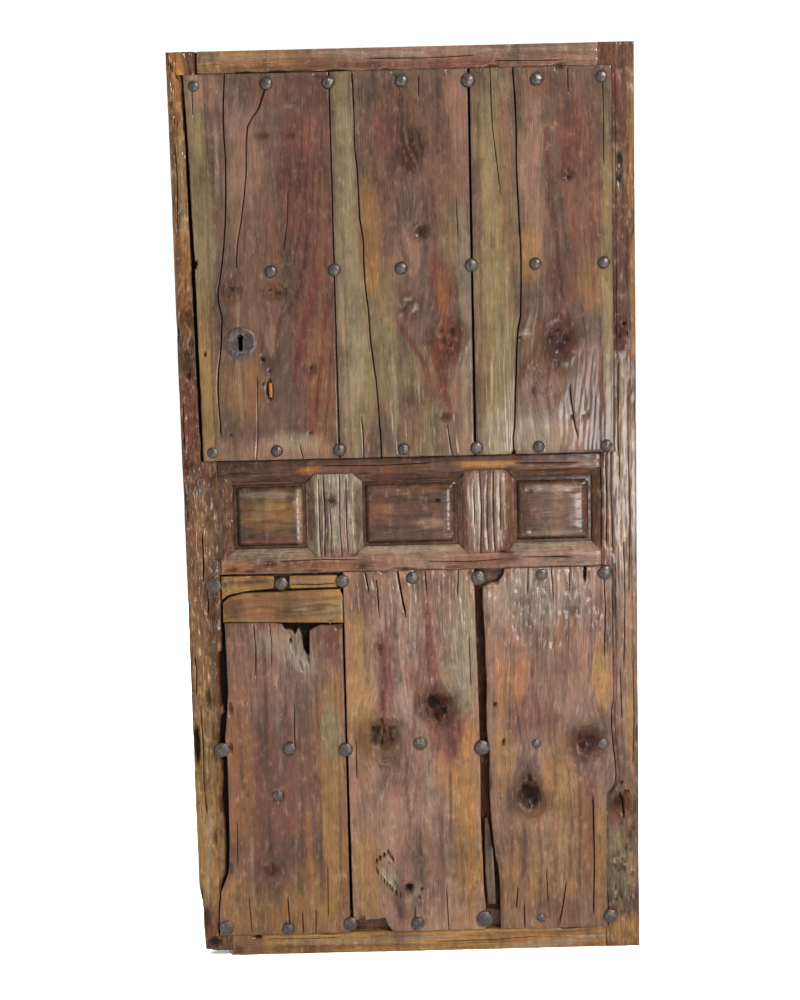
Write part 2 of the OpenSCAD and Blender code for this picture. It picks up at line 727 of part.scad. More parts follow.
// Domed nail seen from the front, its head bearing on the plane face_y
module domed_nail(n, face_y, shank) {
    r = n[2];
    h = n[3];
    ball_r = (r * r + h * h) / (2 * h);
    intersection() {
        translate([n[0], face_y - h + ball_r, n[1]]) sphere(r = ball_r);
        pin_y(n[0], n[1], r, face_y - h - past, face_y);
    }
    pin_y(n[0], n[1], shank_r, face_y, face_y + shank);
}

module domed_nails() {
    color("#55504b") {
        for (n = nails_upper) domed_nail(n, upper_face_y, shank_l);
        for (n = nails_lower) domed_nail(n, lower_face_y, shank_l);
        domed_nail(stile_nail, front_y, shank_l - 6);
        domed_nail(sunk_nail, lower_face_y, sunk_shank_l);
    }
}

module strip_nails() {
    color("#4a4642") for (s = strip_nails_at) {
        pin_y(s[0], s[1], strip_nail_r, s[2] - strip_nail_l, s[2]);
        pin_y(s[0], s[1], strip_nail_head_r, s[2], s[2] + 1.5);
    }
}

module tenon_wedges() {
    color("#8f6a45") for (z0 = tenon_zs)
        for (z = [z0 + kerf_inset, z0 + tenon_h - kerf_inset - kerf_w])
            for (s = [[tenon_end_l(z0), 1], [edge_r, -1]])
                slab([
                    [s[0], z], [s[0], z + kerf_w],
                    [s[0] + s[1] * (kerf_l - 4), z + kerf_w * 0.6],
                    [s[0] + s[1] * (kerf_l - 4), z + kerf_w * 0.4]
                ], tenon_y, tenon_y + tenon_t);
}

// Keyhole: a round end with a slot below it
module keyhole_cut(r, w, y0, y1) {
    pin_y(key_x, key_z, r, y0, y1);
    block(key_x - w / 2, key_x + w / 2, y0, y1, key_z - key_slot_l, key_z);
}

plate_mid_z = key_z - 11;
tack_r = 1.2;
tack_head_r = 3;
tack_l = 14;
tack_spots = [for (a = [45:90:315]) [key_x + (plate_r - 7) * cos(a), plate_mid_z + (plate_r - 7) * sin(a)]];
module keyhole_plate() {
    color("#5a524b") difference() {
        pin_y(key_x, plate_mid_z, plate_r, upper_face_y - plate_t, upper_face_y);
        keyhole_cut(key_r, key_slot_w, upper_face_y - plate_t - past, upper_face_y + past);
        plate_tack_bores();
    }
}
module plate_tack_bores() {
    for (t = tack_spots)
        pin_y(t[0], t[1], tack_r + shank_play, upper_face_y - plate_t - past, upper_face_y + tack_l + past);
}
module plate_tacks() {
    color("#4d4843") for (t = tack_spots) {
        pin_y(t[0], t[1], tack_r, upper_face_y - plate_t, upper_face_y + tack_l);
        pin_y(t[0], t[1], tack_head_r, upper_face_y - plate_t - 1.2, upper_face_y - plate_t);
    }
}

// Wood block that fills the space between the board and the lock
module lock_block() {
    color("#6e4d35") difference() {
        block(inner_l + joint_play, plate_x1, rebate_y, back_y, plate_z0 - 8, plate_z1 + 8);
        keyhole_cut(key_r + 1.5, key_slot_w + 3, rebate_y - past, back_y + past);
        lock_nail_bores();
    }
}

lock_nail_r = 2;
lock_nail_l = 26;
lock_nail_spots = [
    for (x = [plate_x0 + 34, plate_x1 - 5]) for (z = [plate_z0 + 6, plate_z1 - 6]) [x, z]
];
module lock_nail_bores() {
    for (s = lock_nail_spots)
        pin_y(s[0], s[1], lock_nail_r + shank_play, back_y - lock_nail_l - past, back_y + sheet_t + past);
}
module lock_nails() {
    color("#4a4642") for (s = lock_nail_spots) {
        pin_y(s[0], s[1], lock_nail_r, back_y - lock_nail_l, back_y + sheet_t);
        pin_y(s[0], s[1], lock_nail_r + 2.5, back_y + sheet_t, back_y + sheet_t + 2);
    }
}

// Ears of the cover that are riveted to the plate
ear_w = 16;
ear_h = 9;
ear_xs = [case_x0 + 55, case_x1 - 30];
rivet_r = 2;
rivet_spots = [
    for (x = ear_xs) for (z = [case_z0 - ear_h / 2, case_z0 + case_h + ear_h / 2]) [x, z]
];
module rivet_bores() {
    for (s = rivet_spots)
        pin_y(s[0], s[1], rivet_r + 0.1, back_y - past, back_y + 2 * sheet_t + past);
}

module lock_plate() {
    color("#514a44") difference() {
        block(plate_x0, plate_x1, back_y, back_y + sheet_t, plate_z0, plate_z1);
        keyhole_cut(key_r, key_slot_w, back_y - past, back_y + sheet_t + past);
        lock_nail_bores();
        rivet_bores();
    }
}

module lock_cover() {
    y0 = back_y + sheet_t;
    color("#4e4741") difference() {
        union() {
            block(case_x0, case_x1, y0, case_y1, case_z0, case_z0 + case_h);
            for (x = ear_xs)
                block(x - ear_w / 2, x + ear_w / 2, y0, y0 + sheet_t,
                      case_z0 - ear_h, case_z0 + case_h + ear_h);
        }
        block(case_x0 + sheet_t, case_x1 - sheet_t, y0 - past, case_y1 - sheet_t,
              case_z0 + sheet_t, case_z0 + case_h - sheet_t);
        // way out for the bolt
        block(case_x0 - past, case_x0 + sheet_t + past, y0 - past, bolt_y + bolt_t + bolt_play,
              bolt_z - bolt_play, bolt_z + bolt_h + bolt_play);
        pin_y(key_x, key_z, post_r + 0.1, case_y1 - sheet_t - past, case_y1 + past);
        rivet_bores();
    }
}

module lock_rivets() {
    color("#45403b") for (s = rivet_spots) {
        pin_y(s[0], s[1], rivet_r, back_y, back_y + 2 * sheet_t);
        pin_y(s[0], s[1], rivet_r + 1.5, back_y + 2 * sheet_t, back_y + 2 * sheet_t + 1.5);
    }
}

// Bolt with a notch that the key's bit drives, and two notches for the spring
module lock_bolt() {
    color("#6b645c") difference() {
        block(bolt_x0, bolt_x1, bolt_y, bolt_y + bolt_t, bolt_z, bolt_z + bolt_h);
        block(key_x - 11 + bolt_throw / 2, key_x + 11 + bolt_throw / 2, bolt_y - past,
              bolt_y + bolt_t + past, bolt_z - past, bolt_z + 8);
    }
}

// Flat spring that bears down on the bolt from the lid of the case
module bolt_spring() {
    top = case_z0 + case_h - sheet_t;
    low = bolt_z + bolt_h + bolt_play;
    x0 = key_x - 62;
    x1 = key_x + 36;
    t = 1.2;
    color("#5d5852") slab([
        [x1, top], [x1, top - t], [x1 - 20, top - t], [x0 + 14, low], [x0, low],
        [x0, low + t], [x0 + 13, low + t], [x1 - 19, top]
    ], bolt_y + 2, bolt_y + bolt_t - 2);
}

// Post that the hollow key turns on, riveted in the cover
post_r = 2.5;
module key_post() {
    color("#59544e") {
        pin_y(key_x, key_z, post_r, back_y + 4, case_y1);
        pin_y(key_x, key_z, post_r + 1.5, case_y1, case_y1 + 1.5);
    }
}

// Loop that guides the bolt's end on the plate
staple_t = 4;
module bolt_staple() {
    x0 = plate_x0 + 2;
    y0 = back_y + sheet_t;
    color("#4a443e") difference() {
        block(x0, x0 + 9, y0, bolt_y + bolt_t + bolt_play + staple_t,
              bolt_z - bolt_play - staple_t, bolt_z + bolt_h + bolt_play + staple_t);
        block(x0 - past, x0 + 9 + past, y0 - past, bolt_y + bolt_t + bolt_play,
              bolt_z - bolt_play, bolt_z + bolt_h + bolt_play);
    }
}

left_stile();
right_stile();
top_rail();
upper_mid_rail();
lower_mid_rail();
bottom_rail();
left_muntin();
right_muntin();
left_panel();
centre_panel();
right_panel();
upper_left_board();
upper_centre_board();
upper_right_board();
lower_left_board();
lower_centre_board();
lower_right_board();
upper_ledge();
lower_ledge();
left_cover_strip();
right_cover_strip();
patch_block();
left_patch_slip();
right_patch_slip();
patch_backing();
loose_splinter();
slot_plug();
domed_nails();
strip_nails();
tenon_wedges();
keyhole_plate();
plate_tacks();
lock_block();
lock_plate();
lock_cover();
lock_rivets();
lock_nails();
lock_bolt();
bolt_spring();
key_post();
bolt_staple();
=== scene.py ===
import math

import bmesh
import bpy
import numpy as np
from bpy.props import FloatProperty, FloatVectorProperty, IntProperty, PointerProperty
from mathutils import Matrix, Vector


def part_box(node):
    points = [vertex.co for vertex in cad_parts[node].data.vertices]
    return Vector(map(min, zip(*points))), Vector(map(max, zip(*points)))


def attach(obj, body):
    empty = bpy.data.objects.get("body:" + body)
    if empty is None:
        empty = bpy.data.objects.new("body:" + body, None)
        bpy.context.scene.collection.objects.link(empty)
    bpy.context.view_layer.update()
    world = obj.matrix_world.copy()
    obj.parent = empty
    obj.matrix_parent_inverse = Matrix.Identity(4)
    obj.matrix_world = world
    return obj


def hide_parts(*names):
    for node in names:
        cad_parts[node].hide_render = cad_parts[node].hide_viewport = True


bl_info = {
    "name": "Old plank and panel door",
    "version": (1, 0, 0),
    "blender": (4, 5, 0),
    "location": "3D View > Sidebar > Door",
    "description": "Weathered wood, hammered nails and lock ironwork round a packed door leaf",
    "category": "Object",
}

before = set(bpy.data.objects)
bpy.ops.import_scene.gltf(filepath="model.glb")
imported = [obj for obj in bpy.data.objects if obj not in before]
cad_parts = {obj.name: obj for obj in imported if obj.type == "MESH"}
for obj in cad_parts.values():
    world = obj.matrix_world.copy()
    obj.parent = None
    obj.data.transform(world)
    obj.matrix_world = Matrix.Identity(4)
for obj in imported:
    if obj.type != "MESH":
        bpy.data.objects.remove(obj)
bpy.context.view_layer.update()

# Everything below is written in millimetres and scaled once, when a mesh is placed.
MM = 0.001
LEAF = "leaf"
BOLT = "bolt"


def extent(node):
    """Low and high corner of a CAD node in millimetres."""
    low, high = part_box(node)
    return [c / MM for c in low], [c / MM for c in high]


FRAME_LOW, FRAME_HIGH = extent("right_stile")
EDGE_R = FRAME_HIGH[0]
EDGE_L = extent("left_stile")[0][0]
LEAF_H = FRAME_HIGH[2]
FRONT_Y = FRAME_LOW[1]
BACK_Y = FRAME_HIGH[1]
REBATE_Y = extent("upper_centre_board")[1][1]
UPPER_FACE_Y = extent("upper_centre_board")[0][1]
LOWER_FACE_Y = extent("lower_centre_board")[0][1]
INNER_L = extent("left_stile")[1][0]
INNER_R = extent("right_stile")[0][0]
TOP_SHOW_Z = extent("upper_centre_board")[1][2] + 1
UPPER_BOARDS_Z = extent("upper_centre_board")[0][2] - 1
LOWER_BOARDS_Z = extent("lower_centre_board")[1][2]
END_SHOW_Z = extent("lower_centre_board")[0][2] - 1
TONGUE = 9
BAND_Z = extent("left_panel")[0][2] + TONGUE
BAND_TOP_Z = extent("left_panel")[1][2] - TONGUE
CHAMFER_W = 19
CHAMFER_D = 16
UPPER_FLAT_Z = BAND_TOP_Z + CHAMFER_W
LOWER_FLAT_Z = BAND_Z - CHAMFER_W
MUNTIN_X = 163
MUNTIN_HALF = 60
OPENINGS = [
    (INNER_L, -MUNTIN_X - MUNTIN_HALF), (-MUNTIN_X + MUNTIN_HALF, MUNTIN_X - MUNTIN_HALF),
    (MUNTIN_X + MUNTIN_HALF, INNER_R),
]
KEY_BACKSET = 135
KEY_X = EDGE_L + KEY_BACKSET
KEY_Z = 1359
PLATE_Z = KEY_Z - 11


def swatch(code):
    """Scene-linear colour from a six-figure hex code."""
    values = [int(code[i:i + 2], 16) / 255 for i in (0, 2, 4)]
    return tuple(v / 12.92 if v <= 0.04045 else ((v + 0.055) / 1.055) ** 2.4 for v in values)


def length(name, description, default, low, high):
    return FloatProperty(name=name, description=description, default=default * MM, min=low * MM,
                         max=high * MM, unit="LENGTH", subtype="DISTANCE", precision=4)


def colour(name, description, code):
    return FloatVectorProperty(name=name, description=description, default=swatch(code), size=3,
                               min=0, max=1, subtype="COLOR")


class DoorSizes(bpy.types.PropertyGroup):
    """How finely and how roughly the door is worked."""
    pitch_across: length("Pitch across", "Distance of the mesh columns across the grain", 2.35, 1.5, 10)
    pitch_along: length("Pitch along", "Distance of the mesh rows along the grain", 6.6, 3, 40)
    arris: length("Worn arris", "Width of the rounding along the edges of the wood", 2.6, 0.5, 6)
    furrow: length("Furrows", "Depth of the weathered furrows along the grain", 0.5, 0, 2)
    sway: length("Sway", "Depth of the broad hollows and swells of the wood", 1.1, 0, 4)
    nail_sides: IntProperty(name="Nail sides", description="Segments round a nail's dome",
                            default=28, min=12, max=64)


class DoorColours(bpy.types.PropertyGroup):
    """Colours of the woods and the iron."""
    olive: colour("Olive", "Sapwood strips gone olive grey", "a08a5e")
    pinkish: colour("Pinkish brown", "Common colour of the upper boards", "865c45")
    reddish: colour("Reddish brown", "Heartwood streaks", "7c3a28")
    # this silver colour is the weathered grey of rubbed fibres, and is also laid on as painted sheen: glints
    # on raised fibres and broad glossy zones
    silver: colour("Silver", "Rubbed fibres that catch the light", "b7a08a")
    pale: colour("Pale grey", "Dry ridges and splinters", "b39f83")
    ochre: colour("Ochre", "Lower frame and clean wood", "b58444")
    mauve: colour("Mauve grey", "Weathered lower boards", "a98068")
    orange: colour("Orange", "Fresh chips and resin", "cb8340")
    brown: colour("Brown", "Walnut brown frame wood", "70452b")
    purple: colour("Purple brown", "Wood round the knots", "603b33")
    burnt: colour("Burnt", "Scorched marks and knot hearts", "4b2b1d")
    # painted shade: this near-black is laid inside splits, holes, dents, gaps and rebate floors, where shade
    # falls; it is also the own black of the knots' hearts
    hollow: colour("Hollow", "Inside of splits and holes", "0d0806")
    iron: colour("Iron", "Waxed forged iron", "2d2623")
    rust: colour("Rust", "Rust in the iron's pits", "3a2418")
    floor: colour("Floor", "Plain pale floor", "f7f7f7")


def tone(name):
    return np.array(getattr(bpy.context.scene.door_colours, name))


def size(name):
    return getattr(bpy.context.scene.door_sizes, name) / MM


# ---------------------------------------------------------------- repeatable irregularity

def lattice(i, j, seed):
    h = np.sin(i * 127.1 + j * 311.7 + seed * 74.7) * 43758.5453
    return h - np.floor(h)


def ripple(u, v, seed):
    """Smooth noise from -1 to 1 with one wave or so to each unit of u and v."""
    u, v = np.broadcast_arrays(np.asarray(u, float), np.asarray(v, float))
    i, j = np.floor(u), np.floor(v)
    a, b = u - i, v - j
    a, b = a * a * (3 - 2 * a), b * b * (3 - 2 * b)
    low = lattice(i, j, seed) * (1 - a) + lattice(i + 1, j, seed) * a
    high = lattice(i, j + 1, seed) * (1 - a) + lattice(i + 1, j + 1, seed) * a
    return (low * (1 - b) + high * b) * 2 - 1


def rough(u, v, seed, octaves=3):
    total = sum(ripple(u * 2 ** k, v * 2 ** k, seed + 17 * k) / 2 ** k for k in range(octaves))
    return total / (2 - 2 ** (1 - octaves))


def fade(value, start, stop):
    """0 before start, 1 past stop (or the other way round), smooth between them."""
    t = np.clip((value - start) / (stop - start), 0, 1)
    return t * t * (3 - 2 * t)


def line_at(points, level):
    """First coordinate of a polyline at a value of its second one."""
    points = sorted(points, key=lambda p: p[1])
    return np.interp(level, [p[1] for p in points], [p[0] for p in points])


# ---------------------------------------------------------------- meshes

def deselect_all():
    for o in bpy.context.selected_objects:
        o.select_set(False)


def work_on(piece):
    deselect_all()
    piece.select_set(True)
    bpy.context.view_layer.objects.active = piece


def apply_modifier(piece, kind, **settings):
    work_on(piece)
    modifier = piece.modifiers.new(kind.title(), kind)
    for key, value in settings.items():
        setattr(modifier, key, value)
    bpy.ops.object.modifier_apply(modifier=modifier.name)


def start_edit():
    bpy.ops.object.mode_set(mode="EDIT")
    bpy.ops.mesh.select_all(action="SELECT")


def end_edit():
    bpy.ops.object.mode_set(mode="OBJECT")


def face_outwards(piece):
    work_on(piece)
    start_edit()
    bpy.ops.mesh.normals_make_consistent(inside=False)
    end_edit()


def join(name, pieces):
    """One object out of several, named as asked."""
    work_on(pieces[0])
    for p in pieces[1:]:
        p.select_set(True)
    if len(pieces) > 1:
        bpy.ops.object.join()
    piece = bpy.context.view_layer.objects.active
    piece.name = name
    piece.data.name = name
    return piece


def coordinates(mesh):
    co = np.empty(len(mesh.vertices) * 3)
    mesh.vertices.foreach_get("co", co)
    return co.reshape(-1, 3)


def set_coordinates(mesh, co):
    mesh.vertices.foreach_set("co", np.ascontiguousarray(co).ravel())
    mesh.update()


def write_attribute(mesh, name, values):
    colour_like = values.ndim == 2
    attribute = mesh.attributes.new(name, "FLOAT_COLOR" if colour_like else "FLOAT", "POINT")
    if colour_like:
        values = np.hstack([values, np.ones((len(values), 1))])
        attribute.data.foreach_set("color", np.clip(values, 0, 1).astype(np.float32).ravel())
    else:
        attribute.data.foreach_set("value", values.astype(np.float32))


def dress(piece, name):
    piece.data.materials.clear()
    piece.data.materials.append(finish(name))


def hand_over(piece, body, slot, *nodes, angle=40):
    """Gives a finished piece its material slot and body, smooths it by angle, and hides the CAD nodes that it
    stands for.
    """
    dress(piece, slot)
    work_on(piece)
    bpy.ops.object.shade_smooth_by_angle(angle=math.radians(angle))
    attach(piece, body)
    if nodes:
        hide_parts(*nodes)
    return piece

# ---------------------------------------------------------------- wood

class Timber:
    """A length of wood as a closed slab of fine columns and rows, worked in millimetres.

    x_lines are polylines of (x, z) from left to right and z_lines polylines of (x, z) from
    below up. The mesh's columns and rows run evenly between them, so that edges, splits and
    steps fall on whole lines. along tells which way the grain runs, "z" or "x"."""

    def __init__(self, name, x_lines, z_lines, face, back, along="z", seed=1, base="pinkish"):
        self.name = name
        self.x_lines = [("edge", line, 0) for line in x_lines]
        self.z_lines = [("edge", line, 0) for line in z_lines]
        self.face = face
        self.back = back
        self.along = along
        self.seed = seed
        self.base = tone(base)
        self.marks = []
        self.knots = []
        self.dry = 0.3
        self.relief = 1.0
        self.gnarl = 0.3
        self.lumps = 0.0
        self.floor_below = None
        self.coarse = 1.0
        self.steps = []

    def add(self, kind, *rows):
        """Marks of one kind, each row being that method's values, laid on in their order."""
        for row in rows:
            getattr(self, kind)(*row)
        return self

    def wear(self, **values):
        """Sets how dry, gnarled, lumpy or coarse the wood is, or the depth of its relief."""
        vars(self).update(values)
        return self

    def split(self, points, width=1.6, depth=11, dark=1.0):
        """Crack along a polyline of (x, z) points, running with the grain."""
        points = sorted(points, key=lambda p: p[1] if self.along == "z" else p[0])
        self.marks.append(("split", points, width, depth, dark))
        lines = self.x_lines if self.along == "z" else self.z_lines
        if width >= 0.9:
            lines.append(("split", points, width))
        return self

    def scar(self, points, width, depth, dark=1.0):
        """Crack or groove that runs across the grain, left to the mesh's own lines."""
        self.marks.append(("scar", points, width, depth, dark))
        return self

    def knot(self, x, z, rx, rz, colour="burnt", strength=0.8, dent=1.5, turn=0, push=0.55):
        self.knots.append((x, z, rx, rz, tone(colour), strength, dent, math.radians(turn), push))
        return self

    def dent(self, x, z, rx, rz, depth, dark=0.5, turn=0, ragged=0.25):
        self.marks.append(("dent", x, z, rx, rz, depth, dark, math.radians(turn), ragged))
        return self

    def patch(self, x, z, rx, rz, colour, strength=0.7, turn=0):
        self.marks.append(("patch", x, z, rx, rz, tone(colour), strength, math.radians(turn)))
        return self

    def streak(self, points, width, colour, strength=0.7):
        self.marks.append(("streak", points, width, tone(colour), strength))
        return self

    # ---- layout of the mesh
    def _tracks(self, entries, level):
        """Sorted list of functions of the other coordinate, arris and split lines included."""
        edges = [e[1] for e in entries if e[0] == "edge"]
        arris = min(size("arris"), 0.24 * abs(line_mid(edges[-1], level) - line_mid(edges[0], level)))
        tracks = []
        for k, edge in enumerate(edges):
            offsets = [0]
            if k == 0:
                offsets = [0, arris * 0.3, arris]
            if k == len(edges) - 1:
                offsets = [-arris, -arris * 0.3, 0]
            tracks += [(edge, o, o) for o in offsets]
        for e in entries:
            if e[0] == "split":
                half = e[2] / 2
                reach = half + 0.6
                tracks += [(e[1], -reach, -0.9), (e[1], -half * 0.5, -0.35), (e[1], 0, 0),
                           (e[1], half * 0.5, 0.35), (e[1], reach, 0.9)]
        tracks.sort(key=lambda t: line_mid(t[0], level) + t[1])
        return tracks

    @staticmethod
    def _place(tracks, slots, other):
        """Positions of all lines at the other coordinate, one array for each slot."""
        lines = []
        for points, offset, _ in tracks:
            points = sorted(points, key=lambda p: p[1])
            lines.append((np.array([p[1] for p in points]), np.array([p[0] for p in points]), offset))
        out = np.empty_like(other)
        for s, (k, f) in enumerate(slots):
            at = other[:, s]
            a = np.interp(at, lines[k][0], lines[k][1]) + lines[k][2]
            if f:
                b = np.interp(at, lines[k + 1][0], lines[k + 1][1]) + lines[k + 1][2]
                a = a * (1 - f) + b * f
            out[:, s] = a
        least = 0.08 * np.arange(out.shape[1])
        return np.maximum.accumulate(out - least, axis=1) + least

    @staticmethod
    def _slots(tracks, pitch, level):
        slots = []
        places = [line_mid(t[0], level) + t[1] for t in tracks]
        for k in range(len(tracks) - 1):
            count = max(1, round((places[k + 1] - places[k]) / pitch))
            slots += [(k, f / count) for f in range(count)]
        slots.append((len(tracks) - 1, 0))
        return slots

    def layout(self):
        across, along = size("pitch_across") * self.coarse, size("pitch_along") * self.coarse
        x_pitch, z_pitch = (across, along) if self.along == "z" else (along, across)
        flipped = [(e[0], [(p[1], p[0]) for p in e[1]], *e[2:]) for e in self.z_lines]
        z_mid = np.mean([line_mid(e[1], None) for e in flipped])
        x_mid = np.mean([line_mid(e[1], None) for e in self.x_lines if e[0] == "edge"])
        x_tracks = self._tracks(self.x_lines, z_mid)
        z_tracks = self._tracks(flipped, x_mid)
        x_slots = self._slots(x_tracks, x_pitch, z_mid)
        z_slots = self._slots(z_tracks, z_pitch, x_mid)
        z = np.empty((len(x_slots), len(z_slots)))
        z[:] = [self._nominal(z_tracks, s, x_mid) for s in z_slots]
        for _ in range(3):
            x = self._place(x_tracks, x_slots, z.T)
            z = self._place(z_tracks, z_slots, x.T)
        nominal = np.array([self._nominal(x_tracks, s, z_mid) for s in x_slots])
        level = np.array([self._nominal(z_tracks, s, x_mid) for s in z_slots])
        # rows run over z, columns over x
        return x, z.T, nominal, level

    @staticmethod
    def _nominal(tracks, slot, level):
        k, f = slot
        a = line_mid(tracks[k][0], level) + tracks[k][1]
        if not f:
            return a
        return a * (1 - f) + (line_mid(tracks[k + 1][0], level) + tracks[k + 1][1]) * f

    # ---- what the surface does
    def _ellipse(self, x, z, cx, cz, rx, rz, turn):
        dx, dz = x - cx, z - cz
        c, s = math.cos(turn), math.sin(turn)
        return np.hypot((dx * c + dz * s) / rx, (dz * c - dx * s) / rz)

    def _grain(self, x, z, nominal, level):
        """Coordinates across and along the grain, led round the knots."""
        if self.along == "z":
            u, v = np.broadcast_to(nominal, x.shape).copy(), z.copy()
            p, q = x, z
        else:
            u, v = np.broadcast_to(level[:, None], z.shape).copy(), x.copy()
            p, q = z, x
        u += 5 * ripple(q / 260, p / 300, self.seed + 3) + 1.4 * ripple(q / 70, p / 60, self.seed + 5)
        for cx, cz, rx, rz, _, _, _, _, push in self.knots:
            cp, cq, rp, rq = (cx, cz, rx, rz) if self.along == "z" else (cz, cx, rz, rx)
            dp, dq = p - cp, q - cq
            near = np.exp(-(dp / (2.1 * rp)) ** 2 - (dq / (2.6 * rq)) ** 2)
            u -= push * rp * np.tanh(dp / rp) * near * 1.6
        return u, v

    def _work(self, x, z, u, v):
        """Depth below the face (mm, inwards), colour with painted shade and highlight on its relief, and the
        shading attributes.
        """
        tint = np.broadcast_to(self.base, x.shape + (3,)).copy()
        sink = np.zeros_like(x)
        hollow = np.zeros_like(x)
        ring = np.full_like(x, 4.0)
        dry = np.full_like(x, self.dry)
        furrow, sway = size("furrow") * self.relief, size("sway") * self.relief
        seed = self.seed
        bands = ripple(u / 26, v / 300, seed + 1)
        lines = rough(u / 7.5, v / 130, seed + 2, 2)
        sink += sway * rough(u / 70, v / 190, seed + 8, 3)
        sink += furrow * (np.abs(lines) * -1.4 + 0.5) + furrow * 0.5 * ripple(u / 3.9, v / 90, seed + 9)
        ridges = np.abs(rough(u / 10, v / 34, seed + 71, 3))
        ridges = ridges + 0.4 * np.abs(ripple(u / 4.4, v / 17, seed + 73))
        lumps = rough(x / 15, z / 24, seed + 75, 3)
        sink += self.gnarl * (0.9 - 2.4 * ridges) + self.lumps * (0.5 - 2.2 * np.abs(lumps))
        # painted shade and highlight: the sunk parts of the gnarl and the lumps are darkened and their ridges
        # lightened, standing in for the shade of that relief
        relief_shade_and_tone = 1 - 0.1 * self.gnarl * (0.42 - ridges) - 0.16 * self.lumps * fade(np.abs(lumps), 0.16, 0.0)
        dry += 0.25 * rough(u / 30, v / 160, seed + 11)
        # the wood's own random tone: broad bands, fine lines and a slow noise
        relief_shade_and_tone = relief_shade_and_tone + 0.08 * bands + 0.035 * lines + 0.08 * rough(x / 90, z / 130, seed + 12)
        warm = 0.08 * rough(u / 34, v / 200, seed + 13) + 0.04 * rough(x / 19, z / 26, seed + 14)
        for m in self.marks:
            if m[0] == "patch":
                _, cx, cz, rx, rz, paint, strength, turn = m
                e = self._ellipse(x, z, cx, cz, rx, rz, turn)
                e = e + 0.42 * rough(u / 19, v / 62, seed + cx + cz, 3)
                e = e + 0.05 * ripple(u / 3.1, v / 55, seed + cx)
                w = strength ** 0.52 * fade(e, 1.3, 0.5)
                tint += (paint - tint) * w[..., None]
            elif m[0] == "streak":
                _, points, width, paint, strength = m
                d, inside = self._distance(x, z, points, 22)
                d = d / (1.3 * width) + 0.35 * rough(u / 9, v / 80, seed + width, 2)
                w = strength ** 0.8 * fade(d, 1.15, 0.4) * inside
                tint += (paint - tint) * w[..., None]
            elif m[0] in ("split", "scar"):
                _, points, width, depth, dark = m
                width = width * 0.68
                d, inside = self._distance(x, z, points, 9 if m[0] == "split" else 3)
                along = z if self.along == "z" else x
                swell = 0.75 + 0.35 * ripple(along / 23, 0.5, seed + points[0][0])
                d = np.abs(d)
                gap = fade(d, width / 2 * swell + 0.55, width / 2 * swell * 0.45) * inside
                sink += depth * gap + 0.7 * fade(d, width / 2 + 3.5, width / 2) * inside
                # painted shade: the inside of the split is darkened with the hollow colour, with a faint
                # darker band along its lips
                dark = dark * min(0.22 + 0.3 * width, 0.95)
                hollow = np.maximum(hollow, gap * dark)
                hollow = np.maximum(hollow, 0.25 * dark * fade(d, width / 2 + 2.6, width / 2) * inside)
            elif m[0] == "dent":
                _, cx, cz, rx, rz, depth, dark, turn, ragged = m
                e = self._ellipse(x, z, cx, cz, rx, rz, turn)
                e = e + ragged * rough(x / 5, z / 8, seed + cx * 0.31 + cz * 0.17, 3)
                w = fade(e, 1.15, 0.5)
                sink += depth * w
                # painted shade: the dent is darkened with the hollow colour, most in deep holes
                hollow = np.maximum(hollow, dark * fade(e, 1.1, 0.45))
        for cx, cz, rx, rz, paint, strength, dent, turn, _ in self.knots:
            e = self._ellipse(x, z, cx, cz, rx, rz, turn)
            e = e + 0.16 * rough(x / (0.5 * rx + 4), z / (0.5 * rz + 4), seed + cx, 3)
            w = strength * fade(e, 1.15, 0.7)
            tint += (paint - tint) * w[..., None]
            halo = 0.4 * strength * fade(e, 1.9, 1.25)
            tint += (tone("brown") * 0.8 - tint) * (halo * (1 - fade(e, 1.15, 0.7)))[..., None]
            tint *= (1 - 0.35 * strength * np.exp(-((e - 1.15) / 0.22) ** 2))[..., None]
            sink += dent * fade(e, 0.95, 0.45) - 0.8 * np.exp(-((e - 1.2) / 0.25) ** 2)
            sink += dent * 0.3 * fade(e, 1.3, 0.9) * rough(x / 4.5, z / 4.5, seed + cz, 3)
            heart = 0.62 + 0.8 * rough(x / 5, z / 5, seed + rx, 2)
            hollow = np.maximum(hollow, strength * 0.8 * fade(e, 0.95, 0.35) * np.clip(heart, 0, 1))
            ring = np.minimum(ring, e)
        tint *= relief_shade_and_tone[..., None]
        tint *= 1 + warm[..., None] * np.array([1, 0.1, -0.7])
        return sink, tint, hollow, ring, dry

    def _distance(self, x, z, points, soft):
        """Distance from a polyline, and 1 inside its span with soft ends."""
        if abs(points[-1][1] - points[0][1]) >= abs(points[-1][0] - points[0][0]):
            d = x - line_at(points, z)
            ends = [min(p[1] for p in points), max(p[1] for p in points)]
            at = z
        else:
            turned = [(p[1], p[0]) for p in points]
            d = z - line_at(turned, x)
            ends = [min(p[0] for p in points), max(p[0] for p in points)]
            at = x
        inside = fade(at, ends[0] - soft, ends[0] + soft) * fade(at, ends[1] + soft, ends[1] - soft)
        return np.abs(d), inside

